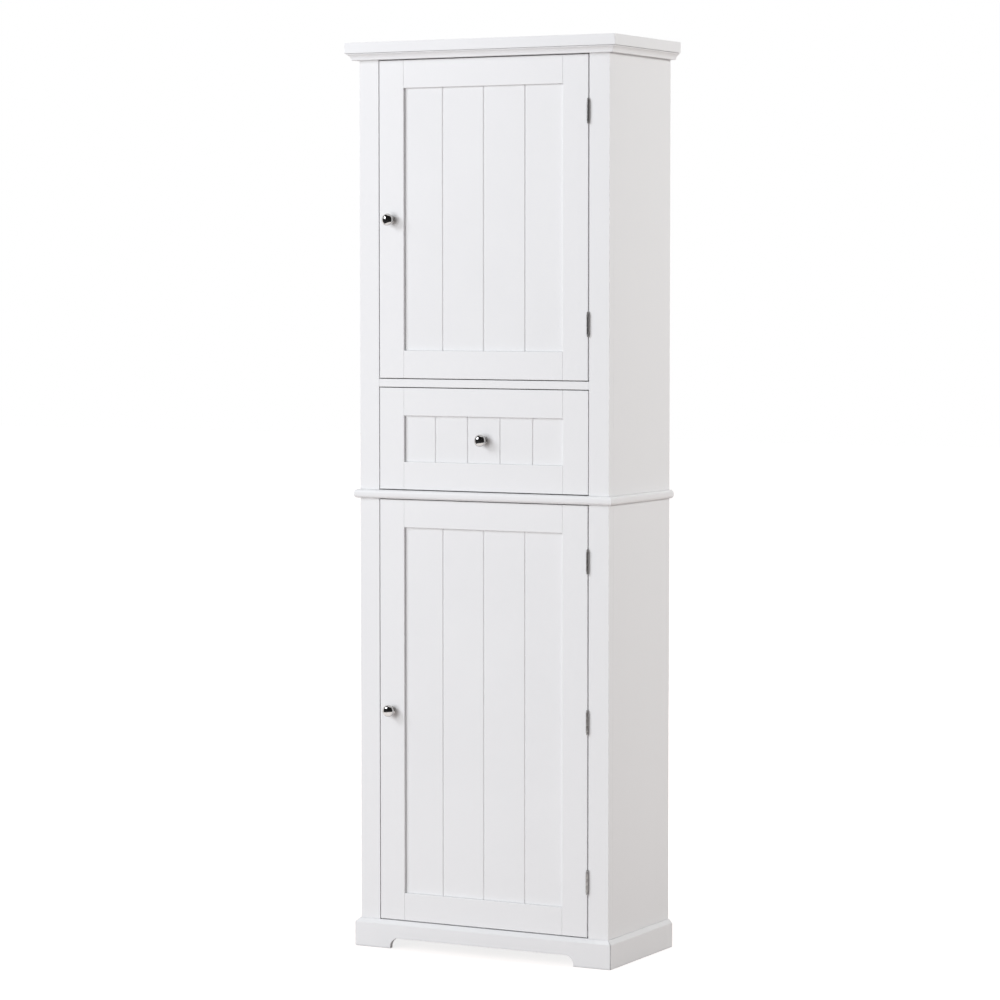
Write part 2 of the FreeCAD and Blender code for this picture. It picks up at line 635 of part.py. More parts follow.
def build_plinth():
    """Chamfered boards round the foot of the case; the front one is cut out between its feet."""
    z = ("0", "dims.plinth_height")
    reach = "dims.plinth_thickness"
    chamfer_side = "2 * dims.plinth_chamfer"
    chamfer_z = "(dims.plinth_height - dims.plinth_chamfer)"
    half = f"({HALF_BODY} + {reach})"
    front_chamfer = doc.addObject("Part::Box", "plinth_front_chamfer")
    bind(front_chamfer, Length=f"2 * {half}", Width=chamfer_side, Height=chamfer_side)
    place(front_chamfer, (f"-{half}", f"{FRONT} - {reach}", chamfer_z), FreeCAD.Rotation(X_AXIS, 45))
    return_chamfer = doc.addObject("Part::Box", "plinth_return_chamfer")
    bind(return_chamfer, Length=chamfer_side, Width=f"dims.body_depth + {reach}", Height=chamfer_side)
    place(return_chamfer, (f"-{half}", f"{FRONT} - {reach}", chamfer_z), FreeCAD.Rotation(Y_AXIS, -45))

    arch_half = f"({half} - dims.foot_width)"
    arch_y = (f"{FRONT} - {reach} - dims.overshoot", f"{FRONT} + dims.overshoot")
    spring_z = "(dims.arch_height - dims.arch_radius)"
    spring_x = f"({arch_half} - dims.arch_radius)"
    corner_start = (f"-{spring_x}", arch_y[0], spring_z)
    corner_length = f"{reach} + 2 * dims.overshoot"
    corner = rod("arch_corner", "2 * dims.arch_radius", corner_start, "+Y", corner_length)
    arch = [
        block("arch_middle", (f"-{spring_x}", spring_x), arch_y, ("-dims.overshoot", "dims.arch_height")),
        block("arch_foot", (f"-{arch_half}", arch_half), arch_y, ("-dims.overshoot", spring_z)),
        corner,
        mirror("arch_corner_right", corner),
    ]
    front = mitred_front("plinth_front_blank", reach, z, "dims.plinth_joint")
    node("plinth_front", cut("plinth_front", front, [front_chamfer, *arch]))
    left_blank = mitred_return("plinth_return_blank", reach, z, "dims.plinth_joint")
    left = cut("plinth_left", left_blank, [return_chamfer])
    node("plinth_returns", pair("plinth_returns", left))


def build_frame_stiles(name, z, hinge_pilots, catch_pilots):
    left = block(f"{name}_left_blank", (f"-{HALF_BODY}", f"-{HALF_OPENING}"), (FRONT, INSIDE), z)
    right = block(f"{name}_right_blank", (HALF_OPENING, HALF_BODY), (FRONT, INSIDE), z)
    node(name, group(name, [
        cut(f"{name}_left", left, catch_pilots),
        cut(f"{name}_right", right, hinge_pilots),
    ]))


# Doors and drawer front

def panel_slot(name, x, z):
    y = (f"{FRONT} + dims.panel_recess - dims.panel_play / 2",
         f"{FRONT} + dims.panel_recess + dims.panel_thickness + dims.panel_play / 2")
    return block(name, x, y, z)


def framed_panel(name, x, z, grooves, pitch):
    """Two stiles, two rails tongued into them, and a grooved panel in their slots."""
    y = (FRONT, INSIDE)
    depth = "dims.panel_groove_depth"
    left = (x[0], f"({x[0]} + dims.door_stile_width)")
    right = (f"({x[1]} - dims.door_stile_width)", x[1])
    stiles = {}
    for side, span, slot in (("left", left, (f"{left[1]} - {depth}", f"{left[1]} + dims.overshoot")),
                             ("right", right, (f"{right[0]} - dims.overshoot", f"{right[0]} + {depth}"))):
        blank = block(f"{name}_{side}_stile_blank", span, y, z)
        stiles[side] = (blank, [panel_slot(f"{name}_{side}_slot", slot, z)])
    rails = {}
    bottom = (z[0], f"({z[0]} + dims.door_rail_width)")
    top = (f"({z[1]} - dims.door_rail_width)", z[1])
    tongue_x = (f"{left[1]} - {depth} + dims.panel_play", f"{right[0]} + {depth} - dims.panel_play")
    tongue_y = (f"{FRONT} + dims.panel_recess", f"{FRONT} + dims.panel_recess + dims.panel_thickness")
    for end, span, slot in (("bottom", bottom, (f"{bottom[1]} - {depth}", f"{bottom[1]} + dims.overshoot")),
                            ("top", top, (f"{top[0]} - dims.overshoot", f"{top[0]} + {depth}"))):
        blank = fuse(f"{name}_{end}_rail_blank", [
            block(f"{name}_{end}_rail_board", (left[1], right[0]), y, span),
            block(f"{name}_{end}_rail_tongue", tongue_x, tongue_y, span),
        ])
        rails[end] = (blank, [panel_slot(f"{name}_{end}_slot", tongue_x, slot)])
    edge = f"({depth} - dims.panel_play)"
    half = f"(({right[0]} - ({left[1]})) / 2 + {edge})"
    panel_z = (f"({bottom[1]} - {edge})", f"({top[0]} + {edge})")
    outline = [(f"-{half}", "0")]
    for number in range(grooves):
        groove_x = f"{number - (grooves - 1) / 2} * {pitch}"
        outline += [(f"{groove_x} - dims.vee_width / 2", "0"), (groove_x, "dims.vee_depth"),
                    (f"{groove_x} + dims.vee_width / 2", "0")]
    outline += [(half, "0"), (half, "dims.panel_thickness"), (f"-{half}", "dims.panel_thickness")]
    origin = (middle(x), f"{FRONT} + dims.panel_recess", panel_z[0])
    panel = extrusion(f"{name}_panel", outline, f"{panel_z[1]} - ({panel_z[0]})", origin)
    return stiles, rails, panel


def knob(name, x, face_y, z):
    """Ball knob on a collar and a neck, with a blind hole for its screw."""
    base = (x, face_y, z)
    head_centre = shift(base, "-Y", "dims.knob_projection - dims.knob_head_thickness / 2")
    solid = fuse(f"{name}_blank", [
        rod(f"{name}_collar", "dims.knob_collar_diameter", base, "-Y", "dims.knob_collar_height"),
        rod(f"{name}_neck", "dims.knob_neck_diameter", base, "-Y", "dims.knob_projection / 2"),
        ball(f"{name}_head", "dims.knob_head_diameter", head_centre, "dims.knob_head_thickness", "-Y"),
    ])
    hole = rod(f"{name}_hole", "dims.knob_screw_diameter + 2 * dims.screw_play", base, "-Y",
               "dims.knob_engagement + dims.screw_play")
    node(name, cut(name, solid, [hole]))


def hinge_heights(z, count):
    ends = (f"({z[0]} + dims.hinge_inset)", f"({z[1]} - dims.hinge_inset)")
    return [ends[0], middle(z), ends[1]] if count == 3 else list(ends)


def hinge(name, door, z):
    """Barrel hinge: returns its frame leaf, door leaf and pin, and the pilot holes in frame and door."""
    low = f"({z} - dims.hinge_height / 2)"
    third = "(dims.hinge_height / 3)"
    play = "dims.knuckle_play"
    barrel = "dims.knuckle_diameter"
    clearance = f"{barrel} + 2 * {play}"
    leaf_y = (HINGE_Y, f"{FRONT} + dims.leaf_width")
    leaf_z = (low, f"{low} + dims.hinge_height")
    bore = rod(f"{name}_bore", "dims.hinge_pin_diameter + dims.hinge_pin_play", (HINGE_X, HINGE_Y, low), "+Z",
               "dims.hinge_height")
    knuckles = []
    rooms = []
    for number in range(3):
        start = (HINGE_X, HINGE_Y, f"({low} + {number} * {third})")
        knuckles.append(rod(f"{name}_knuckle{number}", barrel, shift(start, "+Z", f"{play} / 2"), "+Z",
                            f"{third} - {play}"))
        rooms.append(rod(f"{name}_room{number}", clearance, start, "+Z", third))
    frame_x = (f"({HALF_OPENING} - dims.leaf_thickness)", HALF_OPENING)
    door_x = (HINGE_EDGE, f"({HINGE_EDGE} + dims.leaf_thickness)")
    frame_seats, frame_pilots = hinge_screws("cabinet", f"{name}_frame_screw", frame_x[0], z, "+X")
    door_seats, door_pilots = hinge_screws(door, f"{name}_door_screw", door_x[1], z, "-X")
    frame_blank = fuse(f"{name}_frame_blank", [block(f"{name}_frame_plate", frame_x, leaf_y, leaf_z),
                                               knuckles[0], knuckles[2]])
    frame_leaf = cut(f"{name}_frame_leaf", frame_blank, [bore, rooms[1], *frame_seats])
    door_blank = block(f"{name}_door_plate", door_x, leaf_y, leaf_z)
    door_plate = cut(f"{name}_door_cleared", door_blank, [rooms[0], rooms[2]])
    door_leaf = cut(f"{name}_door_leaf", fuse(f"{name}_door_blank", [door_plate, knuckles[1]]),
                    [bore, *door_seats])
    return frame_leaf, door_leaf, hinge_pin(name, low), frame_pilots, door_pilots


def hinge_screws(owner, name, start_x, z, along):
    seats = []
    pilots = []
    y = f"({FRONT} + dims.leaf_width / 2)"
    for number, sign in enumerate("-+"):
        start = (start_x, y, f"({z} {sign} dims.hinge_screw_spread / 2)")
        seat, pilot = screw(owner, f"{name}{number}", start, along, "dims.leaf_thickness", kind="leaf")
        seats.append(seat)
        pilots.append(pilot)
    return seats, pilots


def hinge_pin(name, low):
    """Pin through the knuckles, with a collar and a round finial at each end."""
    foot = (HINGE_X, HINGE_Y, low)
    head = shift(foot, "+Z", "dims.hinge_height")
    round_height = "(dims.finial_height - dims.finial_collar_height)"
    parts = [rod(f"{name}_pin_shaft", "dims.hinge_pin_diameter", foot, "+Z", "dims.hinge_height")]
    for end, start, along in (("foot", foot, "-Z"), ("head", head, "+Z")):
        parts.append(rod(f"{name}_{end}_collar", "dims.knuckle_diameter", start, along,
                         "dims.finial_collar_height"))
        centre = shift(start, along, f"dims.finial_collar_height + {round_height} / 2")
        thickness = f"{round_height} + dims.finial_collar_height"
        parts.append(ball(f"{name}_{end}_round", "dims.finial_diameter", centre, thickness))
    return fuse(f"{name}_pin", parts)


def build_door(name, z, hinge_count):
    """Door with its knob, hinge leaves and strike plate; returns what its hinges leave on the frame."""
    x = (KNOB_EDGE, HINGE_EDGE)
    stiles, rails, panel = framed_panel(name, x, z, DOOR_GROOVE_COUNT, "dims.door_board_pitch")
    node(f"{name}_panel", panel)
    for end, (blank, cutters) in rails.items():
        node(f"{name}_{end}_rail", cut(f"{name}_{end}_rail", blank, cutters))

    frame_leaves, door_leaves, pins, frame_pilots, door_pilots = [], [], [], [], []
    for number, hinge_z in enumerate(hinge_heights(z, hinge_count)):
        frame_leaf, door_leaf, pin, in_frame, in_door = hinge(f"{name}_hinge{number}", name, hinge_z)
        frame_leaves.append(frame_leaf)
        door_leaves.append(door_leaf)
        pins.append(pin)
        frame_pilots += in_frame
        door_pilots += in_door
    node(f"{name}_hinge_leaves", group(f"{name}_hinge_leaves", door_leaves))
    blank, cutters = stiles["right"]
    node(f"{name}_hinge_stile", cut(f"{name}_hinge_stile", blank, cutters + door_pilots))

    knob(f"{name}_knob", KNOB_X, FRONT, middle(z))
    knob_start = (KNOB_X, f"({INSIDE} + dims.knob_screw_head_height)", middle(z))
    knob_through = "dims.knob_screw_head_height + dims.frame_thickness"
    knob_pilot = screw(name, f"{name}_knob_screw", knob_start, "-Y", knob_through, "dims.knob_engagement",
                       kind="knob")[1]
    strike_x = f"({KNOB_EDGE} + dims.strike_width / 2)"
    strike_start = (strike_x, f"({INSIDE} + dims.strike_thickness)", middle(z))
    strike_seat, strike_pilot = screw(name, f"{name}_strike_screw", strike_start, "-Y", "dims.strike_thickness",
                                      kind="leaf")
    strike = block(f"{name}_strike_blank", (KNOB_EDGE, f"({KNOB_EDGE} + dims.strike_width)"),
                   (INSIDE, f"({INSIDE} + dims.strike_thickness)"),
                   (f"({middle(z)} - dims.strike_height / 2)", f"({middle(z)} + dims.strike_height / 2)"))
    node(f"{name}_strike_plate", cut(f"{name}_strike_plate", strike, [strike_seat]))
    blank, cutters = stiles["left"]
    cutters += [knob_pilot, strike_seat, strike_pilot]
    node(f"{name}_knob_stile", cut(f"{name}_knob_stile", blank, cutters))
    return frame_leaves, pins, frame_pilots


def catch(name, z):
    """Magnetic catch on the back of the left stile, stepped to meet the strike plate."""
    edge = f"-{HALF_OPENING}"
    x = (f"({edge} - dims.catch_foot)", f"({edge} + dims.catch_overlap)")
    y = (INSIDE, f"({INSIDE} + dims.catch_depth)")
    span = (f"({middle(z)} - dims.catch_height / 2)", f"({middle(z)} + dims.catch_height / 2)")
    step = block(f"{name}_step", (edge, f"{x[1]} + dims.overshoot"),
                 (f"{INSIDE} - dims.overshoot", f"{INSIDE} + dims.strike_thickness + dims.catch_play"), span)
    cutters = [step]
    pilots = []
    for number, sign in enumerate("-+"):
        start = (f"({edge} - dims.catch_foot / 2)", y[1],
                 f"({middle(z)} {sign} dims.catch_screw_spread / 2)")
        seat, pilot = screw("cabinet", f"{name}_screw{number}", start, "-Y", "dims.catch_depth")
        cutters += [seat, pilot]
        pilots.append(pilot)
    return cut(name, block(f"{name}_blank", x, y, span), cutters), pilots


# Drawer and its slides

def along_slide(name, points, front, length):
    """Profile across the left slide, measured from the batten's face and the slide's middle."""
    return extrusion(name, points, length, (f"-{HALF_OPENING}", f"({front} + {length})", SLIDE_Z), TURNS["-Y"])


def build_slide_battens():
    """Battens that fill the depth of the frame stiles; returns the pilot holes in the case side."""
    x = (f"-{HALF_INSIDE}", f"-{HALF_OPENING}")
    z = (f"({SLIDE_Z} - dims.batten_height / 2)", f"({SLIDE_Z} + dims.batten_height / 2)")
    width = "(dims.stile_width - dims.side_thickness)"
    cutters = []
    pilots = []
    for label, y in (("front", f"({SLIDE_FRONT} + {SLIDE_LENGTH} / 6)"),
                     ("back", f"({SLIDE_FRONT} + {SLIDE_LENGTH} * 5 / 6)")):
        seat, pilot = screw("cabinet", f"batten_{label}_screw", (x[1], y, SLIDE_Z), "-X", width,
                            "(dims.side_thickness - dims.screw_skin)")
        cutters += [seat, pilot]
        pilots.append(pilot)
    for label, y in channel_screw_places():
        start = (f"({x[1]} + dims.slide_gauge)", y, SLIDE_Z)
        pilot = screw("cabinet", f"channel_{label}_screw", start, "-X", "dims.slide_gauge", kind="leaf")[1]
        cutters.append(pilot)
    left = cut("slide_batten_left", block("slide_batten_blank", x, (INSIDE, BACK_FACE), z), cutters)
    node("slide_battens", pair("slide_battens", left))
    return pilots


def channel_screw_places():
    return (("front", f"({SLIDE_FRONT} + {SLIDE_LENGTH} / 3)"),
            ("back", f"({SLIDE_FRONT} + {SLIDE_LENGTH} * 2 / 3)"))


def build_slides():
    """Channel on the batten, rail on the drawer box, and the ball cage that runs between them."""
    gauge = "dims.slide_gauge"
    half = "(dims.slide_height / 2)"
    lip = f"(dims.slide_width - {gauge} - dims.flange_play)"
    channel_points = [("0", f"-{half}"), (lip, f"-{half}"), (lip, f"{gauge} - {half}"),
                      (gauge, f"{gauge} - {half}"), (gauge, f"{half} - {gauge}"),
                      (lip, f"{half} - {gauge}"), (lip, half), ("0", half)]
    channel = along_slide("slide_channel_blank", channel_points, SLIDE_FRONT, SLIDE_LENGTH)
    seats = []
    for label, y in channel_screw_places():
        start = (f"(-{HALF_OPENING} - dims.overshoot)", y, SLIDE_Z)
        seats.append(rod(f"channel_{label}_hole", "dims.leaf_screw_head + 2 * dims.screw_play", start, "+X",
                         f"{gauge} + 2 * dims.overshoot"))
    node("slide_channels", pair("slide_channels", cut("slide_channel_left", channel, seats)))

    web = f"(dims.slide_width - {gauge})"
    edge = f"({gauge} + dims.flange_play)"
    rail_half = f"({half} - {gauge} - dims.ball_diameter - 2 * dims.ball_play)"
    rail_points = [("dims.slide_width", f"-{rail_half}"), ("dims.slide_width", rail_half), (edge, rail_half),
                   (edge, f"{rail_half} - {gauge}"), (web, f"{rail_half} - {gauge}"),
                   (web, f"{gauge} - {rail_half}"), (edge, f"{gauge} - {rail_half}"), (edge, f"-{rail_half}")]
    rail = along_slide("slide_rail_blank", rail_points, SLIDE_FRONT, SLIDE_LENGTH)
    rail_seats = []
    box_pilots = []
    for label, y in channel_screw_places():
        start = (f"(-{HALF_OPENING} + {web})", y, SLIDE_Z)
        seat, pilot = screw("drawer", f"rail_{label}_screw", start, "+X", gauge, "dims.box_thickness * 2 / 3",
                            kind="leaf")
        rail_seats.append(rod(f"rail_{label}_hole", "dims.leaf_screw_head + 2 * dims.screw_play",
                              shift(start, "-X", "dims.overshoot"), "+X", f"{gauge} + 2 * dims.overshoot"))
        box_pilots += [seat, pilot]
    node("slide_rails", pair("slide_rails", cut("slide_rail_left", rail, rail_seats)))
    build_ball_cages()
    return box_pilots


def build_ball_cages():
    gauge = "dims.cage_gauge"
    ball_z = "(dims.slide_height / 2 - dims.slide_gauge - dims.ball_play - dims.ball_diameter / 2)"
    back = "(dims.slide_gauge + dims.cage_standoff)"
    tip = "(dims.slide_width - dims.slide_gauge - dims.flange_play)"
    outer = f"({ball_z} + {gauge} / 2)"
    inner = f"({ball_z} - {gauge} / 2)"
    points = [(back, f"-{outer}"), (tip, f"-{outer}"), (tip, f"-{inner}"), (f"{back} + {gauge}", f"-{inner}"),
              (f"{back} + {gauge}", inner), (tip, inner), (tip, outer), (back, outer)]
    front = f"({SLIDE_FRONT} + {SLIDE_LENGTH} - dims.cage_setback - dims.cage_length)"
    cage = along_slide("ball_cage_blank", points, front, "dims.cage_length")
    ball_x = f"(dims.slide_width / 2 - {HALF_OPENING})"
    holes = []
    members = []
    for number in range(BALLS_PER_ROW):
        y = f"({front} + {number + 0.5} * dims.cage_length / {BALLS_PER_ROW})"
        start = (ball_x, y, f"({SLIDE_Z} - dims.slide_height / 2)")
        holes.append(rod(f"ball_hole{number}", "dims.ball_diameter + 2 * dims.ball_play", start, "+Z",
                         "dims.slide_height"))
        for row, sign in (("lower", "-"), ("upper", "+")):
            centre = (ball_x, y, f"({SLIDE_Z} {sign} {ball_z})")
            members.append(ball(f"{row}_ball{number}", "dims.ball_diameter", centre, "dims.ball_diameter"))
    left = group("ball_cage_left", [cut("ball_cage", cage, holes), *members])
    node("slide_ball_cages", pair("slide_ball_cages", left))


def build_drawer(box_pilots):
    x = (f"-{DRAWER_EDGE}", DRAWER_EDGE)
    stiles, rails, panel = framed_panel("drawer_front", x, DRAWER_FRONT, DRAWER_GROOVE_COUNT,
                                        "dims.drawer_board_pitch")
    knob_z = middle(DRAWER_FRONT)
    knob_face = f"({FRONT} + dims.panel_recess)"
    knob("drawer_knob", "0", knob_face, knob_z)
    inner_face = f"({INSIDE} + dims.box_thickness)"
    knob_start = ("0", f"({inner_face} + dims.knob_screw_head_height)", knob_z)
    knob_through = "dims.knob_screw_head_height + dims.box_thickness + dims.frame_thickness - dims.panel_recess"
    knob_pilot = screw("drawer", "drawer_knob_screw", knob_start, "-Y", knob_through, "dims.knob_engagement",
                       kind="knob")[1]
    node("drawer_front_panel", cut("drawer_front_panel", panel, [knob_pilot]))
    node("drawer_front_rails", group("drawer_front_rails", [
        cut(f"drawer_front_{end}_rail", blank, cutters) for end, (blank, cutters) in rails.items()]))

    box_z = (BOX_FLOOR, f"({BOX_FLOOR} + dims.box_height)")
    slot_z = (f"({BOX_FLOOR} + dims.box_bottom_lift)",
              f"({BOX_FLOOR} + dims.box_bottom_lift + dims.box_bottom_thickness + dims.box_play)")
    depth = "dims.box_groove_depth"
    slot_y = (f"({INSIDE} + dims.box_thickness - {depth})", f"({BOX_REAR} - dims.box_thickness + {depth})")
    slot_half = f"({BOX_INNER} + {depth})"
    slot = block("box_bottom_slot", (f"-{slot_half}", slot_half), slot_y, slot_z)
    levels = (f"({BOX_FLOOR} + dims.box_screw_inset)", f"({box_z[1]} - dims.box_screw_inset)")
    corner_pilots = []
    corner_seats = []
    front_pilots = []
    front_seats = []
    for level, z in enumerate(levels):
        for end, y in (("front", f"({INSIDE} + dims.box_thickness / 2)"),
                       ("back", f"({BOX_REAR} - dims.box_thickness / 2)")):
            seat, pilot = screw("drawer", f"box_{end}_screw{level}", (f"-{BOX_OUTER}", y, z), "+X",
                                "dims.box_thickness")
            corner_seats.append(seat)
            corner_pilots.append(pilot)
        front_x = f"-(({BOX_INNER} + {DRAWER_EDGE} - dims.door_stile_width) / 2)"
        seat, pilot = screw("drawer", f"front_screw{level}", (front_x, inner_face, z), "-Y",
                            "dims.box_thickness")
        front_seats.append(seat)
        front_pilots.append(pilot)

    blank, cutters = stiles["left"]
    left_stile = cut("drawer_front_left_stile", blank, cutters + front_pilots)
    node("drawer_front_stiles", pair("drawer_front_stiles", left_stile))
    side = block("box_side_blank", (f"-{BOX_OUTER}", f"-{BOX_INNER}"), (INSIDE, BOX_REAR), box_z)
    left_side = cut("box_side_left", side, [slot, *corner_seats, *corner_pilots, *box_pilots])
    node("drawer_box_sides", pair("drawer_box_sides", left_side))
    inner_x = (f"-{BOX_INNER}", BOX_INNER)
    front = block("box_front_blank", inner_x, (INSIDE, inner_face), box_z)
    front_cutters = corner_pilots + front_seats + front_pilots
    node("drawer_box_front", cut_both("drawer_box_front", front, front_cutters, [slot, knob_pilot]))
    back = block("box_back_blank", inner_x, (f"({BOX_REAR} - dims.box_thickness)", BOX_REAR), box_z)
    node("drawer_box_back", cut_both("drawer_box_back", back, corner_pilots, [slot]))
    bottom_half = f"({slot_half} - dims.box_play)"
    node("drawer_box_bottom", block("drawer_box_bottom", (f"-{bottom_half}", bottom_half),
                                    (f"({slot_y[0]} + dims.box_play)", f"({slot_y[1]} - dims.box_play)"),
                                    (slot_z[0], f"({slot_z[0]} + dims.box_bottom_thickness)")))


def build_hardware_groups(frame_leaves, pins, catches):
    node("hinge_frame_leaves", group("hinge_frame_leaves", frame_leaves))
    node("hinge_pins", group("hinge_pins", pins))
    node("door_catches", group("door_catches", catches))
    node("dowels", pair("dowels", group("dowels_left", dowels)))
    node("cam_bolts", pair("cam_bolts", group("cam_bolts_left", cam_bolts)))
    node("cam_locks", pair("cam_locks", group("cam_locks_left", cam_locks)))
    node("shelf_pins", pair("shelf_pins", group("shelf_pins_left", shelf_pins)))
    for owner in ("upper_door", "lower_door"):
        node(f"{owner}_screws", group(f"{owner}_screws", screws[owner]))
    for owner, single in (("cabinet", ("hinge", "catch")), ("drawer", ("knob",))):
        alone = [item for item in screws[owner] if any(word in item.Name for word in single)]
        left = [item for item in screws[owner] if item not in alone]
        left_group = group(f"{owner}_screws_left", left)
        right_group = mirror(f"{owner}_screws_right", left_group)
        node(f"{owner}_screws", group(f"{owner}_screws", [*alone, left_group, right_group]))


def build():
    upper_face = build_upper_case()
    lower_face = build_lower_case()
    build_waist_board(upper_face + lower_face)
    build_crown()
    build_plinth()
    frame_leaves = []
    pins = []
    catches = []
    for name, z, hinge_count, stile_z in (("upper", UPPER_DOOR, 2, (WAIST_TOP, TOP_UNDERSIDE)),
                                          ("lower", LOWER_DOOR, 3, ("0", "dims.lower_height"))):
        door_leaves, door_pins, hinge_pilots = build_door(f"{name}_door", z, hinge_count)
        frame_leaves += door_leaves
        pins += door_pins
        door_catch, catch_pilots = catch(f"{name}_catch", z)
        catches.append(door_catch)
        build_frame_stiles(f"{name}_frame_stiles", stile_z, hinge_pilots, catch_pilots)
    build_drawer(build_slides())
    build_hardware_groups(frame_leaves, pins, catches)


def check():
    """Stops if anything failed to build."""
    for item in doc.Objects:
        if "Invalid" in item.State or "Error" in item.State:
            raise RuntimeError(f"{item.Label} failed to build: {item.State}")
    for name, item in nodes.items():
        if item.Shape.isNull() or not item.Shape.isValid() or not item.Shape.Solids:
            raise RuntimeError(f"{name} has no valid solid")


build()
doc.recompute()
check()
os.makedirs("parts", exist_ok=True)
for node_name, part in nodes.items():
    part.Shape.exportStep(f"parts/{node_name}.step")
print(f"{len(nodes)} nodes, {sum(len(part.Shape.Solids) for part in nodes.values())} solids")
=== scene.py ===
import json
import math

import bmesh
import bpy
from bpy.props import FloatProperty, FloatVectorProperty, PointerProperty
from mathutils import Matrix, Vector


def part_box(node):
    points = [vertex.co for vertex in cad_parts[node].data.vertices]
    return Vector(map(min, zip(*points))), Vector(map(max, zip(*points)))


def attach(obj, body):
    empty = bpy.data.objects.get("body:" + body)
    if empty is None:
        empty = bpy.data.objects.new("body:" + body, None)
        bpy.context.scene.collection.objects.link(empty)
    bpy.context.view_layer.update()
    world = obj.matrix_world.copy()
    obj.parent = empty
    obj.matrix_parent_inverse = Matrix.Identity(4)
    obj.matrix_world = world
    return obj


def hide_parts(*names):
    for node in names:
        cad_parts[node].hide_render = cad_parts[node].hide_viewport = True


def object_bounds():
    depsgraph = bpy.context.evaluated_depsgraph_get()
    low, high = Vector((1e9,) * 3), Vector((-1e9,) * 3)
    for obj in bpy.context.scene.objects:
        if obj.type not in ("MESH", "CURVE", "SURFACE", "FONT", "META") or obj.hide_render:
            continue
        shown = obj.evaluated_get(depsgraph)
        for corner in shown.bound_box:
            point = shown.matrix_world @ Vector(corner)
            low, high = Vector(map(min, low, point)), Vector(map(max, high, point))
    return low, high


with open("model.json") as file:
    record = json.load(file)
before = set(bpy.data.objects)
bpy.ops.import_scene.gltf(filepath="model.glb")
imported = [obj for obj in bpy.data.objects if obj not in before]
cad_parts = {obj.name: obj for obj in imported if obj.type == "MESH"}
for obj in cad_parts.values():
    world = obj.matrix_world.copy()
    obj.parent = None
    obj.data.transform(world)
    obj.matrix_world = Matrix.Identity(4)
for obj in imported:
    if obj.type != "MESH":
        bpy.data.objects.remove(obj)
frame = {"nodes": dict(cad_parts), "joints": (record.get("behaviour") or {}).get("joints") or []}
CAD_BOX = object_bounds()

bl_info = {
    "name": "Linen Cabinet",
    "version": (1, 0, 0),
    "blender": (4, 5, 0),
    "location": "3D View > Sidebar > Cabinet",
    "description": "Paints and fits out a tall white linen cabinet round its packed frame",
    "category": "Object",
}

MM = 0.001
WELD_DISTANCE = 0.00001

# Rounding of boards and plates
FLAT_ANGLE = math.radians(1)
EDGE_ANGLE = math.radians(30)
SMOOTH_ANGLE = math.radians(35)
EDGE_SEGMENTS = 2

# Sides of the turned pieces
KNOB_SIDES = 64
HINGE_SIDES = 32
SCREW_SIDES = 24

# What every shared effect gives a material
EFFECT_OUTPUTS = (("Colour", "NodeSocketColor"), ("Roughness", "NodeSocketFloat"),
                  ("Height", "NodeSocketFloat"))

# Boards by the way their paint was brushed and by the painted shade in their corners and grooves
UPRIGHT_CASE = ("upper_side_left", "upper_side_right", "lower_side_left", "lower_side_right",
                "upper_frame_stiles", "lower_frame_stiles")
LEVEL_CASE = ("frame_top_rail", "drawer_divider", "frame_bottom_rail", "bottom_panel", "wall_rail",
              "upper_shelf", "lower_shelf")
MOULDINGS = ("top_board", "crown_front", "crown_returns", "waist_board", "plinth_front", "plinth_returns")
DOORS = ("upper_door", "lower_door")
PANELS = ("upper_door_panel", "lower_door_panel", "drawer_front_panel")
KNOB_BODIES = {"upper_door_knob": "upper_door", "lower_door_knob": "lower_door", "drawer_knob": "drawer"}
SCREW_BODIES = {"cabinet_screws": "cabinet", "upper_door_screws": "upper_door",
                "lower_door_screws": "lower_door", "drawer_screws": "drawer"}


# Settings

def length(name, description, millimetres):
    """Length setting, its default in millimetres."""
    return FloatProperty(name=name, description=description, subtype="DISTANCE", unit="LENGTH", min=0,
                         default=millimetres * MM)


def share(name, description, default):
    """Setting from 0 to 1."""
    return FloatProperty(name=name, description=description, subtype="FACTOR", min=0, max=1,
                         default=default)


def angle(name, description, degrees):
    """Angle setting, its default in degrees."""
    return FloatProperty(name=name, description=description, subtype="ANGLE", unit="ROTATION",
                         default=math.radians(degrees))


def power(name, description, watts):
    """Setting of a lamp's power."""
    return FloatProperty(name=name, description=description, unit="POWER", min=0, default=watts)


def colour(name, description, default):
    """Colour setting."""
    return FloatVectorProperty(name=name, description=description, subtype="COLOR", size=3, min=0, max=1,
                               default=default)


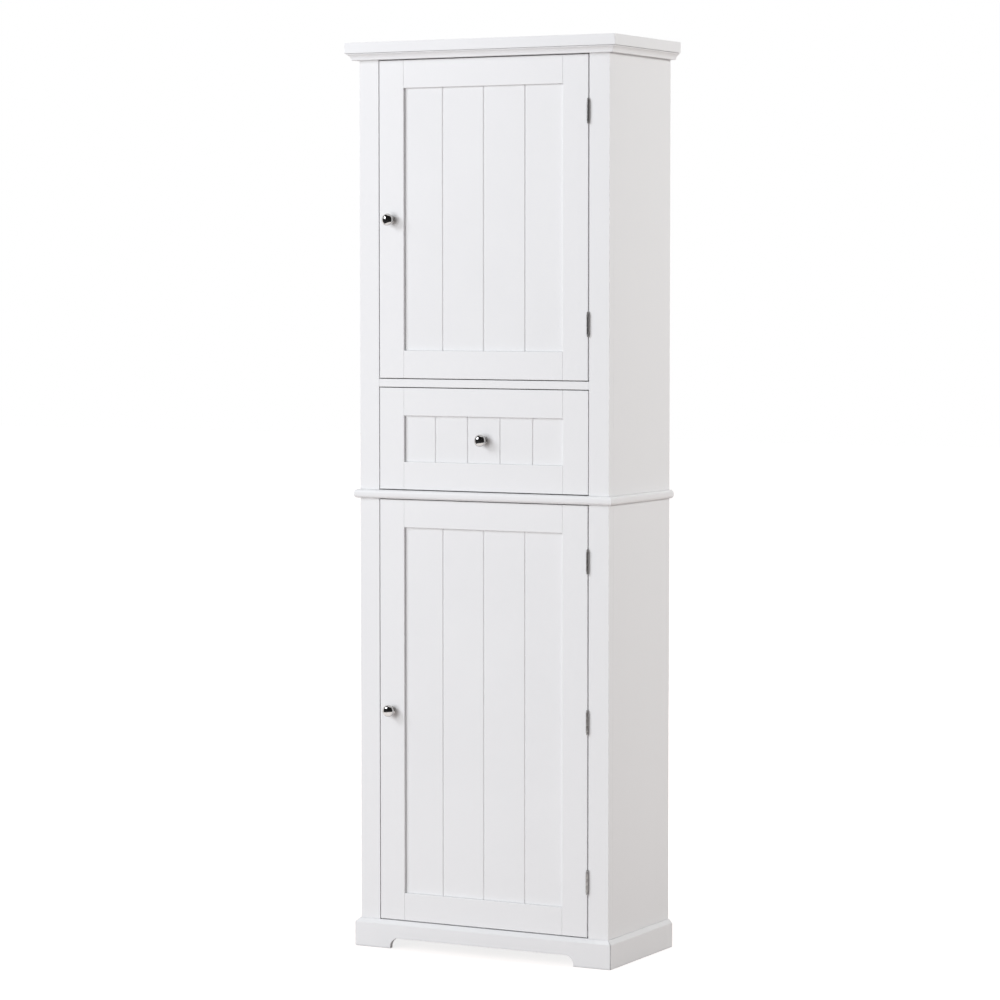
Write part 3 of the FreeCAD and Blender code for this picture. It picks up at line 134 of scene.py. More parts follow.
class CabinetFinish(bpy.types.PropertyGroup):
    """Colours and surfaces of the cabinet."""

    paint_colour: colour("Paint", "Satin white of the boards, doors and drawer front", (0.84, 0.84, 0.845))
    # Corner and groove colours: painted shade that an ambient occlusion node lays into corners, gaps,
    # grooves and under the mouldings; they also give the darker tone of the paint's faint clouds.
    shade_and_mottle_colour: colour("Painted Shade in Corners", "Painted shade in the corners and gaps of the flat boards, also the darker tone of the paint's clouds",
                          (0.74, 0.74, 0.75))
    groove_shade_colour: colour("Painted Shade in Grooves", "Painted shade in the panels' grooves and under the mouldings",
                          (0.32, 0.32, 0.325))
    corner_reach: length("Corner Reach", "How far out of a corner its shade comes on flat boards", 1.8)
    moulding_reach: length("Moulding Reach", "How far out of a corner its shade comes on the mouldings", 6)
    paint_roughness: share("Paint Roughness", "How matt the paint is", 0.42)
    edge_radius: length("Edge Radius", "Rounding of the painted boards' edges", 0.8)
    seam_radius: length("Seam Radius", "Rounding where the frame's stiles meet the sides", 0.25)
    bead_radius: length("Bead Radius", "Rounding along the grooves of the beaded panels", 0.35)
    sheet_radius: length("Sheet Radius", "Rounding of the strike plates' and the slides' edges", 0.2)
    nickel_colour: colour("Polished Nickel", "Knobs", (0.62, 0.61, 0.60))
    hinge_colour: colour("Dark Nickel", "Hinges", (0.52, 0.51, 0.50))
    zinc_colour: colour("Zinc", "Screws, slides, pins and cam fittings", (0.60, 0.61, 0.63))
    wood_pale: colour("Pale Wood", "Pale grain of the drawer box and the battens", (0.66, 0.49, 0.31))
    wood_dark: colour("Dark Wood", "Dark grain of the drawer box and the battens", (0.50, 0.34, 0.19))
    hardboard_colour: colour("Hardboard", "Bare rear face of the back panels", (0.40, 0.28, 0.18))
    plastic_colour: colour("Catch Plastic", "Bodies of the magnetic catches", (0.78, 0.78, 0.76))


class CabinetStage(bpy.types.PropertyGroup):
    """Camera, lamps and floor."""

    camera_place: FloatVectorProperty(
        name="Camera", description="Where the camera stands", subtype="XYZ", unit="LENGTH", size=3,
        default=(3.144, -5.963, 1.257))
    camera_turn: angle("Camera Turn", "Turn to the left of straight at the doors", 27.99)
    camera_dip: angle("Camera Dip", "Tilt below level", 3.45)
    camera_lens: FloatProperty(
        name="Lens", description="Focal length", unit="CAMERA", min=1, default=128.8)
    ambient: FloatProperty(
        name="Ambient", description="Even light from all round", min=0, default=0.345)
    key_power: power("Key Lamp", "Soft lamp high at the front left", 60)
    front_power: power("Front Lamp", "Wide soft lamp in front, to the left", 112)
    side_power: power("Side Lamp", "Soft lamp at the right", 64)
    back_power: power("Back Lamp", "Wide soft lamp behind, to the left", 75)
    top_power: power("Top Lamp", "Narrow lamp straight above the top board", 16)
    floor_colour: colour("Floor", "Pale floor", (0.36, 0.31, 0.29))
    # The lower near glow paints a soft darkening on the floor round the cabinet.
    near_glow: share("Near Glow", "Lift of the floor to white under the cabinet", 0.8)
    far_glow: share("Far Glow", "Lift of the floor to white away from the cabinet", 0.95)
    glow_reach: FloatProperty(
        name="Glow Reach", description="Distance from the cabinet's middle to the fully lifted floor",
        subtype="DISTANCE", unit="LENGTH", min=0, default=1.6)


# Geometry

def islands(node):
    """Vertex positions of each separate solid in a CAD node."""
    mesh = bmesh.new()
    mesh.from_mesh(frame["nodes"][node].data)
    bmesh.ops.remove_doubles(mesh, verts=mesh.verts, dist=WELD_DISTANCE)
    found = []
    seen = set()
    for start in mesh.verts:
        if start in seen:
            continue
        seen.add(start)
        waiting = [start]
        points = []
        while waiting:
            vertex = waiting.pop()
            points.append(vertex.co.copy())
            for edge in vertex.link_edges:
                neighbour = edge.other_vert(vertex)
                if neighbour not in seen:
                    seen.add(neighbour)
                    waiting.append(neighbour)
        found.append(points)
    mesh.free()
    return found


def corners(points):
    """Lowest and highest corner of a set of points."""
    low = Vector([min(point[axis] for point in points) for axis in range(3)])
    high = Vector([max(point[axis] for point in points) for axis in range(3)])
    return low, high


def arc(centre, radii, start, end, steps):
    """Points on an ellipse's arc in a profile of (radius, height) pairs, angles in degrees."""
    points = []
    for step in range(steps + 1):
        around = math.radians(start + (end - start) * step / steps)
        points.append((centre[0] + radii[0] * math.cos(around), centre[1] + radii[1] * math.sin(around)))
    return points


def circle(mesh, radius, height, matrix, sides):
    """New vertices round the matrix's own Z axis."""
    ring = []
    for step in range(sides):
        around = 2 * math.pi * step / sides
        ring.append(mesh.verts.new(
            matrix @ Vector((radius * math.cos(around), radius * math.sin(around), height))))
    return ring


def turn(mesh, profile, matrix, sides, closed=False):
    """Adds a profile of (radius, height) pairs, turned about the matrix's own Z axis.

    A point that repeats the one before it is left out.
    """
    rings = []
    last = None
    for radius, height in profile:
        if last and math.dist(last, (radius, height)) < WELD_DISTANCE:
            continue
        last = (radius, height)
        if radius < WELD_DISTANCE:
            rings.append([mesh.verts.new(matrix @ Vector((0, 0, height)))])
            continue
        rings.append(circle(mesh, radius, height, matrix, sides))
    pairs = list(zip(rings, rings[1:]))
    if closed:
        pairs.append((rings[-1], rings[0]))
    for low, high in pairs:
        for step in range(sides):
            following = (step + 1) % sides
            if len(low) == 1:
                mesh.faces.new((low[0], high[following], high[step]))
            elif len(high) == 1:
                mesh.faces.new((low[step], low[following], high[0]))
            else:
                mesh.faces.new((low[step], low[following], high[following], high[step]))


def plate(mesh, low, high, radius):
    """Adds a flat plate between two corners, its edges rounded."""
    size = Vector(high) - Vector(low)
    centre = (Vector(high) + Vector(low)) / 2
    matrix = Matrix.Translation(centre) @ Matrix.Diagonal((*size, 1))
    made = bmesh.ops.create_cube(mesh, size=1, matrix=matrix)
    edges = list(dict.fromkeys(edge for vertex in made["verts"] for edge in vertex.link_edges))
    bmesh.ops.bevel(mesh, geom=edges, offset=radius, segments=EDGE_SEGMENTS, profile=0.5, affect="EDGES")


def axis_matrix(origin, direction):
    """Matrix whose Z axis runs along a direction from an origin."""
    turn_to = Vector((0, 0, 1)).rotation_difference(Vector(direction))
    return Matrix.Translation(origin) @ turn_to.to_matrix().to_4x4()


def piece(name, mesh, material, body, nodes=()):
    """Makes an object of a mesh that rides on a body, in place of CAD nodes if it replaces any."""
    bmesh.ops.recalc_face_normals(mesh, faces=mesh.faces)
    data = bpy.data.meshes.new(name)
    mesh.to_mesh(data)
    mesh.free()
    data.shade_smooth()
    data.set_sharp_from_angle(angle=SMOOTH_ANGLE)
    made = bpy.data.objects.new(name, data)
    bpy.context.scene.collection.objects.link(made)
    data.materials.append(material)
    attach(made, body)
    if nodes:
        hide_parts(*nodes)


def dress(node, material):
    """Gives a CAD node one material all over."""
    for slot in frame["nodes"][node].material_slots:
        slot.material = material


def join_faces(node):
    """Welds the faces of a CAD node along their shared edges."""
    joined = frame["nodes"][node]
    weld = joined.modifiers.new("Join Faces", "WELD")
    weld.merge_threshold = WELD_DISTANCE
    return joined


def soften(node, radius):
    """Rounds a board's edges: joins its faces, clears the seams in its flats and bevels the rest."""
    board = join_faces(node)
    flats = board.modifiers.new("Clear Flats", "DECIMATE")
    flats.decimate_type = "DISSOLVE"
    flats.angle_limit = FLAT_ANGLE
    edges = board.modifiers.new("Round Edges", "BEVEL")
    edges.width = radius
    edges.segments = EDGE_SEGMENTS
    edges.limit_method = "ANGLE"
    edges.angle_limit = EDGE_ANGLE
    edges.use_clamp_overlap = False
    edges.miter_outer = "MITER_ARC"
    normals = board.modifiers.new("Even Shading", "WEIGHTED_NORMAL")
    normals.keep_sharp = True


def paint(nodes, material, radius):
    """Paints boards and rounds their edges."""
    for node in nodes:
        dress(node, bpy.data.materials[material])
        soften(node, radius)


# Shared effects

def effect(name, inputs):
    """New shader node group with its named sockets."""
    group = bpy.data.node_groups.new(name, "ShaderNodeTree")
    for label, kind, default in inputs:
        group.interface.new_socket(label, in_out="INPUT", socket_type=kind).default_value = default
    for label, kind in EFFECT_OUTPUTS:
        group.interface.new_socket(label, in_out="OUTPUT", socket_type=kind)
    return group, group.nodes.new("NodeGroupInput").outputs, group.nodes.new("NodeGroupOutput").inputs


def feed(tree, value, socket):
    """Links a socket to an input, or sets the input to a plain value."""
    if isinstance(value, bpy.types.NodeSocket):
        tree.links.new(value, socket)
    else:
        socket.default_value = value


def noise(tree, vector, scale, detail=3.0, roughness=0.5, distortion=0.0):
    texture = tree.nodes.new("ShaderNodeTexNoise")
    texture.inputs["Scale"].default_value = scale
    texture.inputs["Detail"].default_value = detail
    texture.inputs["Roughness"].default_value = roughness
    texture.inputs["Distortion"].default_value = distortion
    tree.links.new(vector, texture.inputs["Vector"])
    return texture.outputs["Fac"]


def spread(tree, value, low, high, to_low=0.0, to_high=1.0):
    """Stretches a value's range, clamped at both ends."""
    ranged = tree.nodes.new("ShaderNodeMapRange")
    for label, number in (("From Min", low), ("From Max", high), ("To Min", to_low), ("To Max", to_high)):
        ranged.inputs[label].default_value = number
    tree.links.new(value, ranged.inputs["Value"])
    return ranged.outputs["Result"]


def combine(tree, operation, first, second):
    """Math node between two sockets, or a socket and a number."""
    node = tree.nodes.new("ShaderNodeMath")
    node.operation = operation
    for socket, value in zip(node.inputs, (first, second)):
        feed(tree, value, socket)
    return node.outputs["Value"]


def weighed(tree, first, first_share, second, second_share):
    """Sum of two sockets, each times its share."""
    return combine(tree, "ADD", combine(tree, "MULTIPLY", first, first_share),
                   combine(tree, "MULTIPLY", second, second_share))


def blend_colours(tree, factor, first, second):
    mix = tree.nodes.new("ShaderNodeMix")
    mix.data_type = "RGBA"
    for label, value in (("Factor", factor), ("A", first), ("B", second)):
        kind = "RGBA" if label in "AB" else "VALUE"
        feed(tree, value, next(s for s in mix.inputs if s.name == label and s.type == kind))
    return next(s for s in mix.outputs if s.type == "RGBA")


def surface_place(tree):
    return tree.nodes.new("ShaderNodeTexCoord").outputs["Object"]


def stretched(tree, vector, scale):
    """Coordinates stretched by a vector socket."""
    node = tree.nodes.new("ShaderNodeVectorMath")
    node.operation = "MULTIPLY"
    tree.links.new(vector, node.inputs[0])
    tree.links.new(scale, node.inputs[1])
    return node.outputs["Vector"]


def brushed_paint_effect():
    """Brushed and rolled paint: faint brush lines, a fine peel, faint clouds, and painted shade from an
    ambient occlusion node that darkens its corners, gaps and grooves.
    """
    group, given, out = effect("Brushed Paint", (
        ("Colour", "NodeSocketColor", (0.8, 0.8, 0.8, 1)),
        ("Corner Colour", "NodeSocketColor", (0.6, 0.6, 0.6, 1)),
        ("Brush", "NodeSocketVector", (900, 900, 20)),
        ("Reach", "NodeSocketFloat", 1.8 * MM),
        ("Roughness", "NodeSocketFloat", 0.4),
    ))
    place = surface_place(group)
    lines = noise(group, stretched(group, place, given["Brush"]), scale=1, detail=4)
    peel = noise(group, place, scale=700, detail=2)
    clouds = noise(group, place, scale=5, detail=3)
    # Faint clouds: a random darker tone of the paint, towards the same colour that the painted shade uses.
    tint = spread(group, clouds, 0.35, 0.65, 0.0, 0.03)
    cloudy = blend_colours(group, tint, given["Colour"], given["Corner Colour"])
    # Painted shade: an ambient occlusion node blends the colour towards the shade colour in corners, gaps,
    # grooves and under mouldings.
    corner = group.nodes.new("ShaderNodeAmbientOcclusion")
    corner.samples = 6
    group.links.new(given["Reach"], corner.inputs["Distance"])
    shade = spread(group, corner.outputs["AO"], 0.1, 0.85, 0.8, 0.0)
    group.links.new(blend_colours(group, shade, cloudy, given["Corner Colour"]), out["Colour"])
    sheen = spread(group, peel, 0.3, 0.7, -0.04, 0.04)
    group.links.new(combine(group, "ADD", given["Roughness"], sheen), out["Roughness"])
    group.links.new(weighed(group, lines, 0.5, peel, 0.5), out["Height"])


def wood_grain_effect():
    """Plain-sawn grain: slow bands along the board, crossed by fine pores."""
    group, given, out = effect("Wood Grain", (
        ("Pale", "NodeSocketColor", (0.7, 0.5, 0.3, 1)),
        ("Dark", "NodeSocketColor", (0.5, 0.3, 0.2, 1)),
        ("Grain", "NodeSocketVector", (1, 12, 12)),
    ))
    along = stretched(group, surface_place(group), given["Grain"])
    bands = noise(group, along, scale=9, detail=5, roughness=0.6, distortion=1.2)
    pores = noise(group, along, scale=90, detail=3, roughness=0.7)
    band_share = spread(group, bands, 0.35, 0.68)
    pore_share = spread(group, pores, 0.52, 0.75, 0.0, 0.6)
    dark_share = combine(group, "MAXIMUM", combine(group, "MULTIPLY", band_share, 0.75), pore_share)
    group.links.new(blend_colours(group, dark_share, given["Pale"], given["Dark"]), out["Colour"])
    group.links.new(spread(group, pores, 0.3, 0.7, 0.48, 0.62), out["Roughness"])
    group.links.new(combine(group, "SUBTRACT", 1.0, pore_share), out["Height"])


def handled_metal_effect():
    """Metal that has been handled: cloudy smudges, and hairlines along one direction."""
    group, given, out = effect("Handled Metal", (
        ("Colour", "NodeSocketColor", (0.5, 0.5, 0.5, 1)),
        ("Dull Colour", "NodeSocketColor", (0.4, 0.4, 0.4, 1)),
        ("Hairlines", "NodeSocketVector", (4000, 4000, 300)),
        ("Roughness", "NodeSocketFloat", 0.2),
        ("Smudge", "NodeSocketFloat", 0.1),
    ))
    place = surface_place(group)
    hairlines = noise(group, stretched(group, place, given["Hairlines"]), scale=1, detail=2)
    smudges = spread(group, noise(group, place, scale=260, detail=4, roughness=0.65), 0.4, 0.7)
    group.links.new(blend_colours(group, smudges, given["Colour"], given["Dull Colour"]), out["Colour"])
    rough = combine(group, "ADD", given["Roughness"], combine(group, "MULTIPLY", smudges, given["Smudge"]))
    group.links.new(rough, out["Roughness"])
    group.links.new(hairlines, out["Height"])


# Materials

def new_material(name):
    material = bpy.data.materials.new(name)
    material.use_nodes = True
    return material, material.node_tree, material.node_tree.nodes["Principled BSDF"]


def darker(tone, share_kept):
    """Opaque colour with a share of a tone's brightness."""
    return (*(share_kept * part for part in tone), 1)


def place_effect(tree, name, **values):
    """Puts an effect in a material and sets its inputs, named with spaces for underscores."""
    node = tree.nodes.new("ShaderNodeGroup")
    node.node_tree = bpy.data.node_groups[name]
    for label, value in values.items():
        node.inputs[label.replace("_", " ")].default_value = value
    return node.outputs


def link_relief(tree, shader, height, bump, depth):
    """Gives a shader a fine relief from a height."""
    relief = tree.nodes.new("ShaderNodeBump")
    relief.inputs["Strength"].default_value = bump
    relief.inputs["Distance"].default_value = depth
    tree.links.new(height, relief.inputs["Height"])
    tree.links.new(relief.outputs["Normal"], shader.inputs["Normal"])


def link_surface(tree, shader, outputs, bump, depth):
    """Feeds an effect's colour, roughness and height to a shader."""
    tree.links.new(outputs["Colour"], shader.inputs["Base Color"])
    tree.links.new(outputs["Roughness"], shader.inputs["Roughness"])
    link_relief(tree, shader, outputs["Height"], bump, depth)


# Satin paint whose corners get painted shade of a given colour and reach.
def satin_paint(name, brush, shade_and_mottle_colour, reach):
    finish = bpy.context.scene.cabinet_finish
    tree, shader = new_material(name)[1:]
    outputs = place_effect(tree, "Brushed Paint", Colour=(*finish.paint_colour, 1),
                           Corner_Colour=(*shade_and_mottle_colour, 1), Brush=brush, Reach=reach,
                           Roughness=finish.paint_roughness)
    link_surface(tree, shader, outputs, bump=0.12, depth=0.15 * MM)


def nickel(name, tone, roughness):
    material, tree, shader = new_material(name)
    outputs = place_effect(tree, "Handled Metal", Colour=(*tone, 1), Dull_Colour=darker(tone, 0.8),
                           Hairlines=(2500, 2500, 2500), Roughness=roughness, Smudge=0.08)
    link_surface(tree, shader, outputs, bump=0.03, depth=0.05 * MM)
    shader.inputs["Metallic"].default_value = 1
    return material


def zinc_steel(name, hairlines, roughness):
    tone = bpy.context.scene.cabinet_finish.zinc_colour
    material, tree, shader = new_material(name)
    outputs = place_effect(tree, "Handled Metal", Colour=(*tone, 1), Dull_Colour=darker(tone, 0.82),
                           Hairlines=hairlines, Roughness=roughness, Smudge=0.15)
    link_surface(tree, shader, outputs, bump=0.10, depth=0.05 * MM)
    shader.inputs["Metallic"].default_value = 0.75
    return material


def plain_wood(name, grain):
    finish = bpy.context.scene.cabinet_finish
    material, tree, shader = new_material(name)
    outputs = place_effect(tree, "Wood Grain", Pale=(*finish.wood_pale, 1), Dark=(*finish.wood_dark, 1),
                           Grain=grain)
    link_surface(tree, shader, outputs, bump=0.2, depth=0.2 * MM)
    return material


def back_board():
    """Hardboard, white inside the cabinet and bare behind it, with a fine felted texture."""
    finish = bpy.context.scene.cabinet_finish
    material, tree, shader = new_material("Back Board")
    coordinates = tree.nodes.new("ShaderNodeTexCoord")
    facing = tree.nodes.new("ShaderNodeSeparateXYZ")
    tree.links.new(coordinates.outputs["Normal"], facing.inputs["Vector"])
    bare = spread(tree, facing.outputs["Y"], 0.4, 0.6)
    fibres = noise(tree, coordinates.outputs["Object"], scale=900, detail=4, roughness=0.7)
    clouds = noise(tree, coordinates.outputs["Object"], scale=14, detail=4)
    mixed = weighed(tree, fibres, 0.6, clouds, 0.4)
    felt = blend_colours(tree, spread(tree, mixed, 0.35, 0.65), (*finish.hardboard_colour, 1),
                         darker(finish.hardboard_colour, 0.72))
    white = blend_colours(tree, spread(tree, clouds, 0.3, 0.7, 0.0, 0.08), (*finish.paint_colour, 1),
                          (*finish.shade_and_mottle_colour, 1))
    tree.links.new(blend_colours(tree, bare, white, felt), shader.inputs["Base Color"])
    tree.links.new(spread(tree, bare, 0, 1, 0.5, 0.8), shader.inputs["Roughness"])
    link_relief(tree, shader, fibres, bump=0.15, depth=0.2 * MM)
    return material


def catch_plastic():
    tone = bpy.context.scene.cabinet_finish.plastic_colour
    material, tree, shader = new_material("Catch Plastic")
    place = surface_place(tree)
    grain = noise(tree, place, scale=2500, detail=2)
    clouds = noise(tree, place, scale=60, detail=3)
    mottled = blend_colours(tree, spread(tree, clouds, 0.3, 0.7), (*tone, 1), darker(tone, 0.9))
    tree.links.new(mottled, shader.inputs["Base Color"])
    tree.links.new(spread(tree, grain, 0.3, 0.7, 0.42, 0.55), shader.inputs["Roughness"])
    link_relief(tree, shader, grain, bump=0.2, depth=0.1 * MM)
    return material


def studio_floor(stage):
    """Pale floor: white to the camera and in reflections, but still shaded where the cabinet stands; its
    glow is weaker near the cabinet, which paints a soft darkening round its foot on top of the real shadow.
    """
    material, tree = new_material("Studio Floor")[:2]
    tree.nodes.clear()
    matt = tree.nodes.new("ShaderNodeBsdfDiffuse")
    matt.inputs["Color"].default_value = (*stage.floor_colour, 1)
    away = tree.nodes.new("ShaderNodeVectorMath")
    away.operation = "LENGTH"
    tree.links.new(surface_place(tree), away.inputs[0])
    # Painted shade: the glow falls from the far lift to the near lift towards the cabinet, darkening the
    # floor round it.
    lift = spread(tree, away.outputs["Value"], 0, stage.glow_reach, stage.near_glow, stage.far_glow)
    glow = tree.nodes.new("ShaderNodeEmission")
    tree.links.new(lift, glow.inputs["Color"])
    both = tree.nodes.new("ShaderNodeAddShader")
    tree.links.new(matt.outputs["BSDF"], both.inputs[0])
    tree.links.new(glow.outputs["Emission"], both.inputs[1])
    choice = tree.nodes.new("ShaderNodeMixShader")
    tree.links.new(seen_directly(tree), choice.inputs["Fac"])
    tree.links.new(matt.outputs["BSDF"], choice.inputs[1])
    tree.links.new(both.outputs["Shader"], choice.inputs[2])
    output = tree.nodes.new("ShaderNodeOutputMaterial")
    tree.links.new(choice.outputs["Shader"], output.inputs["Surface"])
    return material


def drape_cloth():
    """Black cloth of the studio's drape, with a coarse weave."""
    material, tree, shader = new_material("Drape Cloth")
    weave = noise(tree, surface_place(tree), scale=40, detail=2)
    dark = blend_colours(tree, weave, (0.015, 0.015, 0.015, 1), (0.03, 0.03, 0.03, 1))
    tree.links.new(dark, shader.inputs["Base Color"])
    shader.inputs["Roughness"].default_value = 1
    return material


def seen_directly(tree):
    """1 for rays from the camera, from reflections and through glass."""
    path = tree.nodes.new("ShaderNodeLightPath").outputs
    mirrored = combine(tree, "MAXIMUM", path["Is Camera Ray"], path["Is Glossy Ray"])
    return combine(tree, "MAXIMUM", mirrored, path["Is Transmission Ray"])


# Operators

class CABINET_OT_mix_effects(bpy.types.Operator):
    """Builds the paint, wood and metal effects that the finishes share"""

    bl_idname = "cabinet.mix_effects"
    bl_label = "Mix Effects"

    def execute(self, context):
        brushed_paint_effect()
        wood_grain_effect()
        handled_metal_effect()
        finish = context.scene.cabinet_finish
        upright, level = (900, 900, 18), (18, 900, 900)
        # The upright and level copies differ in brush direction; the panel and moulding copies paint darker
        # shade into grooves and under the mouldings, the moulding one reaching further out of its corners.
        satin_paint("Satin Paint Upright", upright, finish.shade_and_mottle_colour, finish.corner_reach)
        satin_paint("Satin Paint Level", level, finish.shade_and_mottle_colour, finish.corner_reach)
        satin_paint("Satin Paint Panel", upright, finish.groove_shade_colour, finish.corner_reach)
        satin_paint("Satin Paint Moulding", level, finish.groove_shade_colour, finish.moulding_reach)
        return {"FINISHED"}


class CABINET_OT_paint_case(bpy.types.Operator):
    """Paints the boards of the case and rounds their edges"""

    bl_idname = "cabinet.paint_case"
    bl_label = "Paint Case"

    def execute(self, context):
        finish = context.scene.cabinet_finish
        paint(UPRIGHT_CASE, "Satin Paint Upright", finish.seam_radius)
        paint(LEVEL_CASE, "Satin Paint Level", finish.edge_radius)
        paint(MOULDINGS, "Satin Paint Moulding", finish.edge_radius)
        return {"FINISHED"}


class CABINET_OT_paint_doors(bpy.types.Operator):
    """Paints the frames of the doors and of the drawer front"""

    bl_idname = "cabinet.paint_doors"
    bl_label = "Paint Doors"

    def execute(self, context):
        radius = context.scene.cabinet_finish.edge_radius
        stiles = [f"{door}_{side}_stile" for door in DOORS for side in ("hinge", "knob")]
        rails = [f"{door}_{end}_rail" for door in DOORS for end in ("top", "bottom")]
        paint([*stiles, "drawer_front_stiles"], "Satin Paint Upright", radius)
        paint([*rails, "drawer_front_rails"], "Satin Paint Level", radius)
        return {"FINISHED"}


class CABINET_OT_paint_panels(bpy.types.Operator):
    """Paints the beaded panels and softens the edges of their grooves"""

    bl_idname = "cabinet.paint_panels"
    bl_label = "Paint Panels"

    def execute(self, context):
        paint(PANELS, "Satin Paint Panel", context.scene.cabinet_finish.bead_radius)
        return {"FINISHED"}


class CABINET_OT_turn_knobs(bpy.types.Operator):
    """Turns the three ball knobs, each with a collar and a coved neck"""

    bl_idname = "cabinet.turn_knobs"
    bl_label = "Turn Knobs"

    collar_radius: length("Collar", "Radius of the collar on the door", 7.75)
    collar_height: length("Collar Height", "How far the collar stands out", 3.5)
    neck_radius: length("Neck", "Radius of the neck behind the ball", 4.5)
    head_thickness: length("Ball Thickness", "Thickness of the ball along the knob's axis", 15)
    edge: length("Collar Edge", "Rounding of the collar's edge", 1.0)

    def profile(self, projection, head_radius):
        rim = self.collar_radius - self.edge
        cove = rim - self.neck_radius
        half = self.head_thickness / 2
        middle = projection - half
        foot = -math.degrees(math.acos(self.neck_radius / head_radius))
        return [(0, 0), (self.collar_radius, 0),
                *arc((rim, self.collar_height - self.edge), (self.edge, self.edge), 0, 90, 6),
                *arc((rim, self.collar_height + cove), (cove, cove), 270, 180, 8),
                *arc((0, middle), (head_radius, half), foot, 89, 30), (0, projection)]

    def execute(self, context):
        polished = nickel("Polished Nickel", context.scene.cabinet_finish.nickel_colour, roughness=0.09)
        for node, body in KNOB_BODIES.items():
            low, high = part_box(node)
            face = Vector(((low.x + high.x) / 2, high.y, (low.z + high.z) / 2))
            profile = self.profile(high.y - low.y, (high.x - low.x) / 2)
            mesh = bmesh.new()
            turn(mesh, profile, axis_matrix(face, (0, -1, 0)), KNOB_SIDES)
            piece(f"turned_{node}", mesh, polished, body, [node])
        return {"FINISHED"}


class CABINET_OT_fit_hinges(bpy.types.Operator):
    """Makes the barrel hinges: leaves with rounded knuckles, and pins with a ball at each end"""

    bl_idname = "cabinet.fit_hinges"
    bl_label = "Fit Hinges"

    leaf: length("Leaf", "Thickness of a leaf", 1.1)
    leaf_depth: length("Leaf Depth", "How far a leaf reaches behind the frame's face", 14)
    bore: length("Bore", "Radius of the bore in the knuckles", 1.28)
    pin: length("Pin", "Radius of the pin", 1.2)
    collar: length("Collar", "Height of the collar under a finial", 1.0)
    ball: length("Finial", "Radius of a finial's ball", 2.1)
    ball_share: share("Finial Height", "Half a ball's height as a share of the room over its collar", 0.54)
    gap: length("Gap", "Gap between two knuckles", 0.3)
    edge: length("Edge", "Rounding of the knuckles' edges", 0.4)

    def knuckle(self, mesh, axis, radius, low, high):
        low += self.gap / 2
        high -= self.gap / 2
        rim = radius - self.edge
        profile = [(self.bore, low), *arc((rim, low + self.edge), (self.edge, self.edge), -90, 0, 4),
                   *arc((rim, high - self.edge), (self.edge, self.edge), 0, 90, 4), (self.bore, high)]
        turn(mesh, profile, Matrix.Translation((axis.x, axis.y, 0)), HINGE_SIDES, closed=True)

    def leaf_of(self, mesh, axis, radius, x, low, high, thirds):
        """Leaf with the knuckles that it carries, numbered from the bottom third."""
        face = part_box("upper_frame_stiles")[0].y
        third = (high - low) / 3
        rounding = self.leaf / 5
        plate(mesh, (x[0], face, low), (x[1], face + self.leaf_depth, high), rounding)
        for number in thirds:
            base = low + number * third
            self.knuckle(mesh, axis, radius, base, base + third)
            inner = self.gap / 2 + self.edge
            plate(mesh, (x[0], axis.y + self.bore, base + inner),
                  (x[1], face + self.leaf, base + third - inner), rounding)

    def finial(self, radius, height, base, sign):
        """Profile of a pin's collar and ball beyond the knuckles' end, from the lower end up."""
        rim = radius - self.edge
        half = self.ball_share * (height - self.collar)
        middle = height - half
        start = math.degrees(math.asin((self.collar - middle) / half))
        points = [(self.pin, 0), (rim, 0),
                  *arc((rim, self.collar / 2), (self.edge, self.collar / 2), -90, 90, 6),
                  *arc((0, middle), (self.ball, half), start, 89, 14), (0, height)]
        points = [(across, base + sign * along) for across, along in points]
        return points if sign > 0 else points[::-1]

    def execute(self, context):
        dark = nickel("Dark Nickel", context.scene.cabinet_finish.hinge_colour, roughness=0.4)
        joint = next(joint for joint in frame["joints"] if joint["name"] == "upper_door_hinge")
        axis = Vector(joint["pos_m"])
        pin_low, pin_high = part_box("hinge_pins")
        radius = (pin_high.x - pin_low.x) / 2
        tip = pin_high.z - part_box("hinge_frame_leaves")[1].z
        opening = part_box("frame_top_rail")[1].x
        frame_leaves = bmesh.new()
        pins = bmesh.new()
        for points in islands("hinge_frame_leaves"):
            low, high = corners(points)
            self.leaf_of(frame_leaves, axis, radius, (opening - self.leaf, opening), low.z, high.z, (0, 2))
            turn(pins, self.finial(radius, tip, low.z, -1) + self.finial(radius, tip, high.z, 1),
                 Matrix.Translation((axis.x, axis.y, 0)), HINGE_SIDES)
        piece("barrel_frame_leaves", frame_leaves, dark, "cabinet", ["hinge_frame_leaves"])
        piece("finial_pins", pins, dark, "cabinet", ["hinge_pins"])
        for door in DOORS:
            leaves = bmesh.new()
            door_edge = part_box(f"{door}_hinge_stile")[1].x
            for points in islands(f"{door}_hinge_leaves"):
                low, high = corners(points)
                self.leaf_of(leaves, axis, radius, (door_edge, door_edge + self.leaf), low.z, high.z, (1,))
            piece(f"barrel_{door}_leaves", leaves, dark, door, [f"{door}_hinge_leaves"])
        return {"FINISHED"}


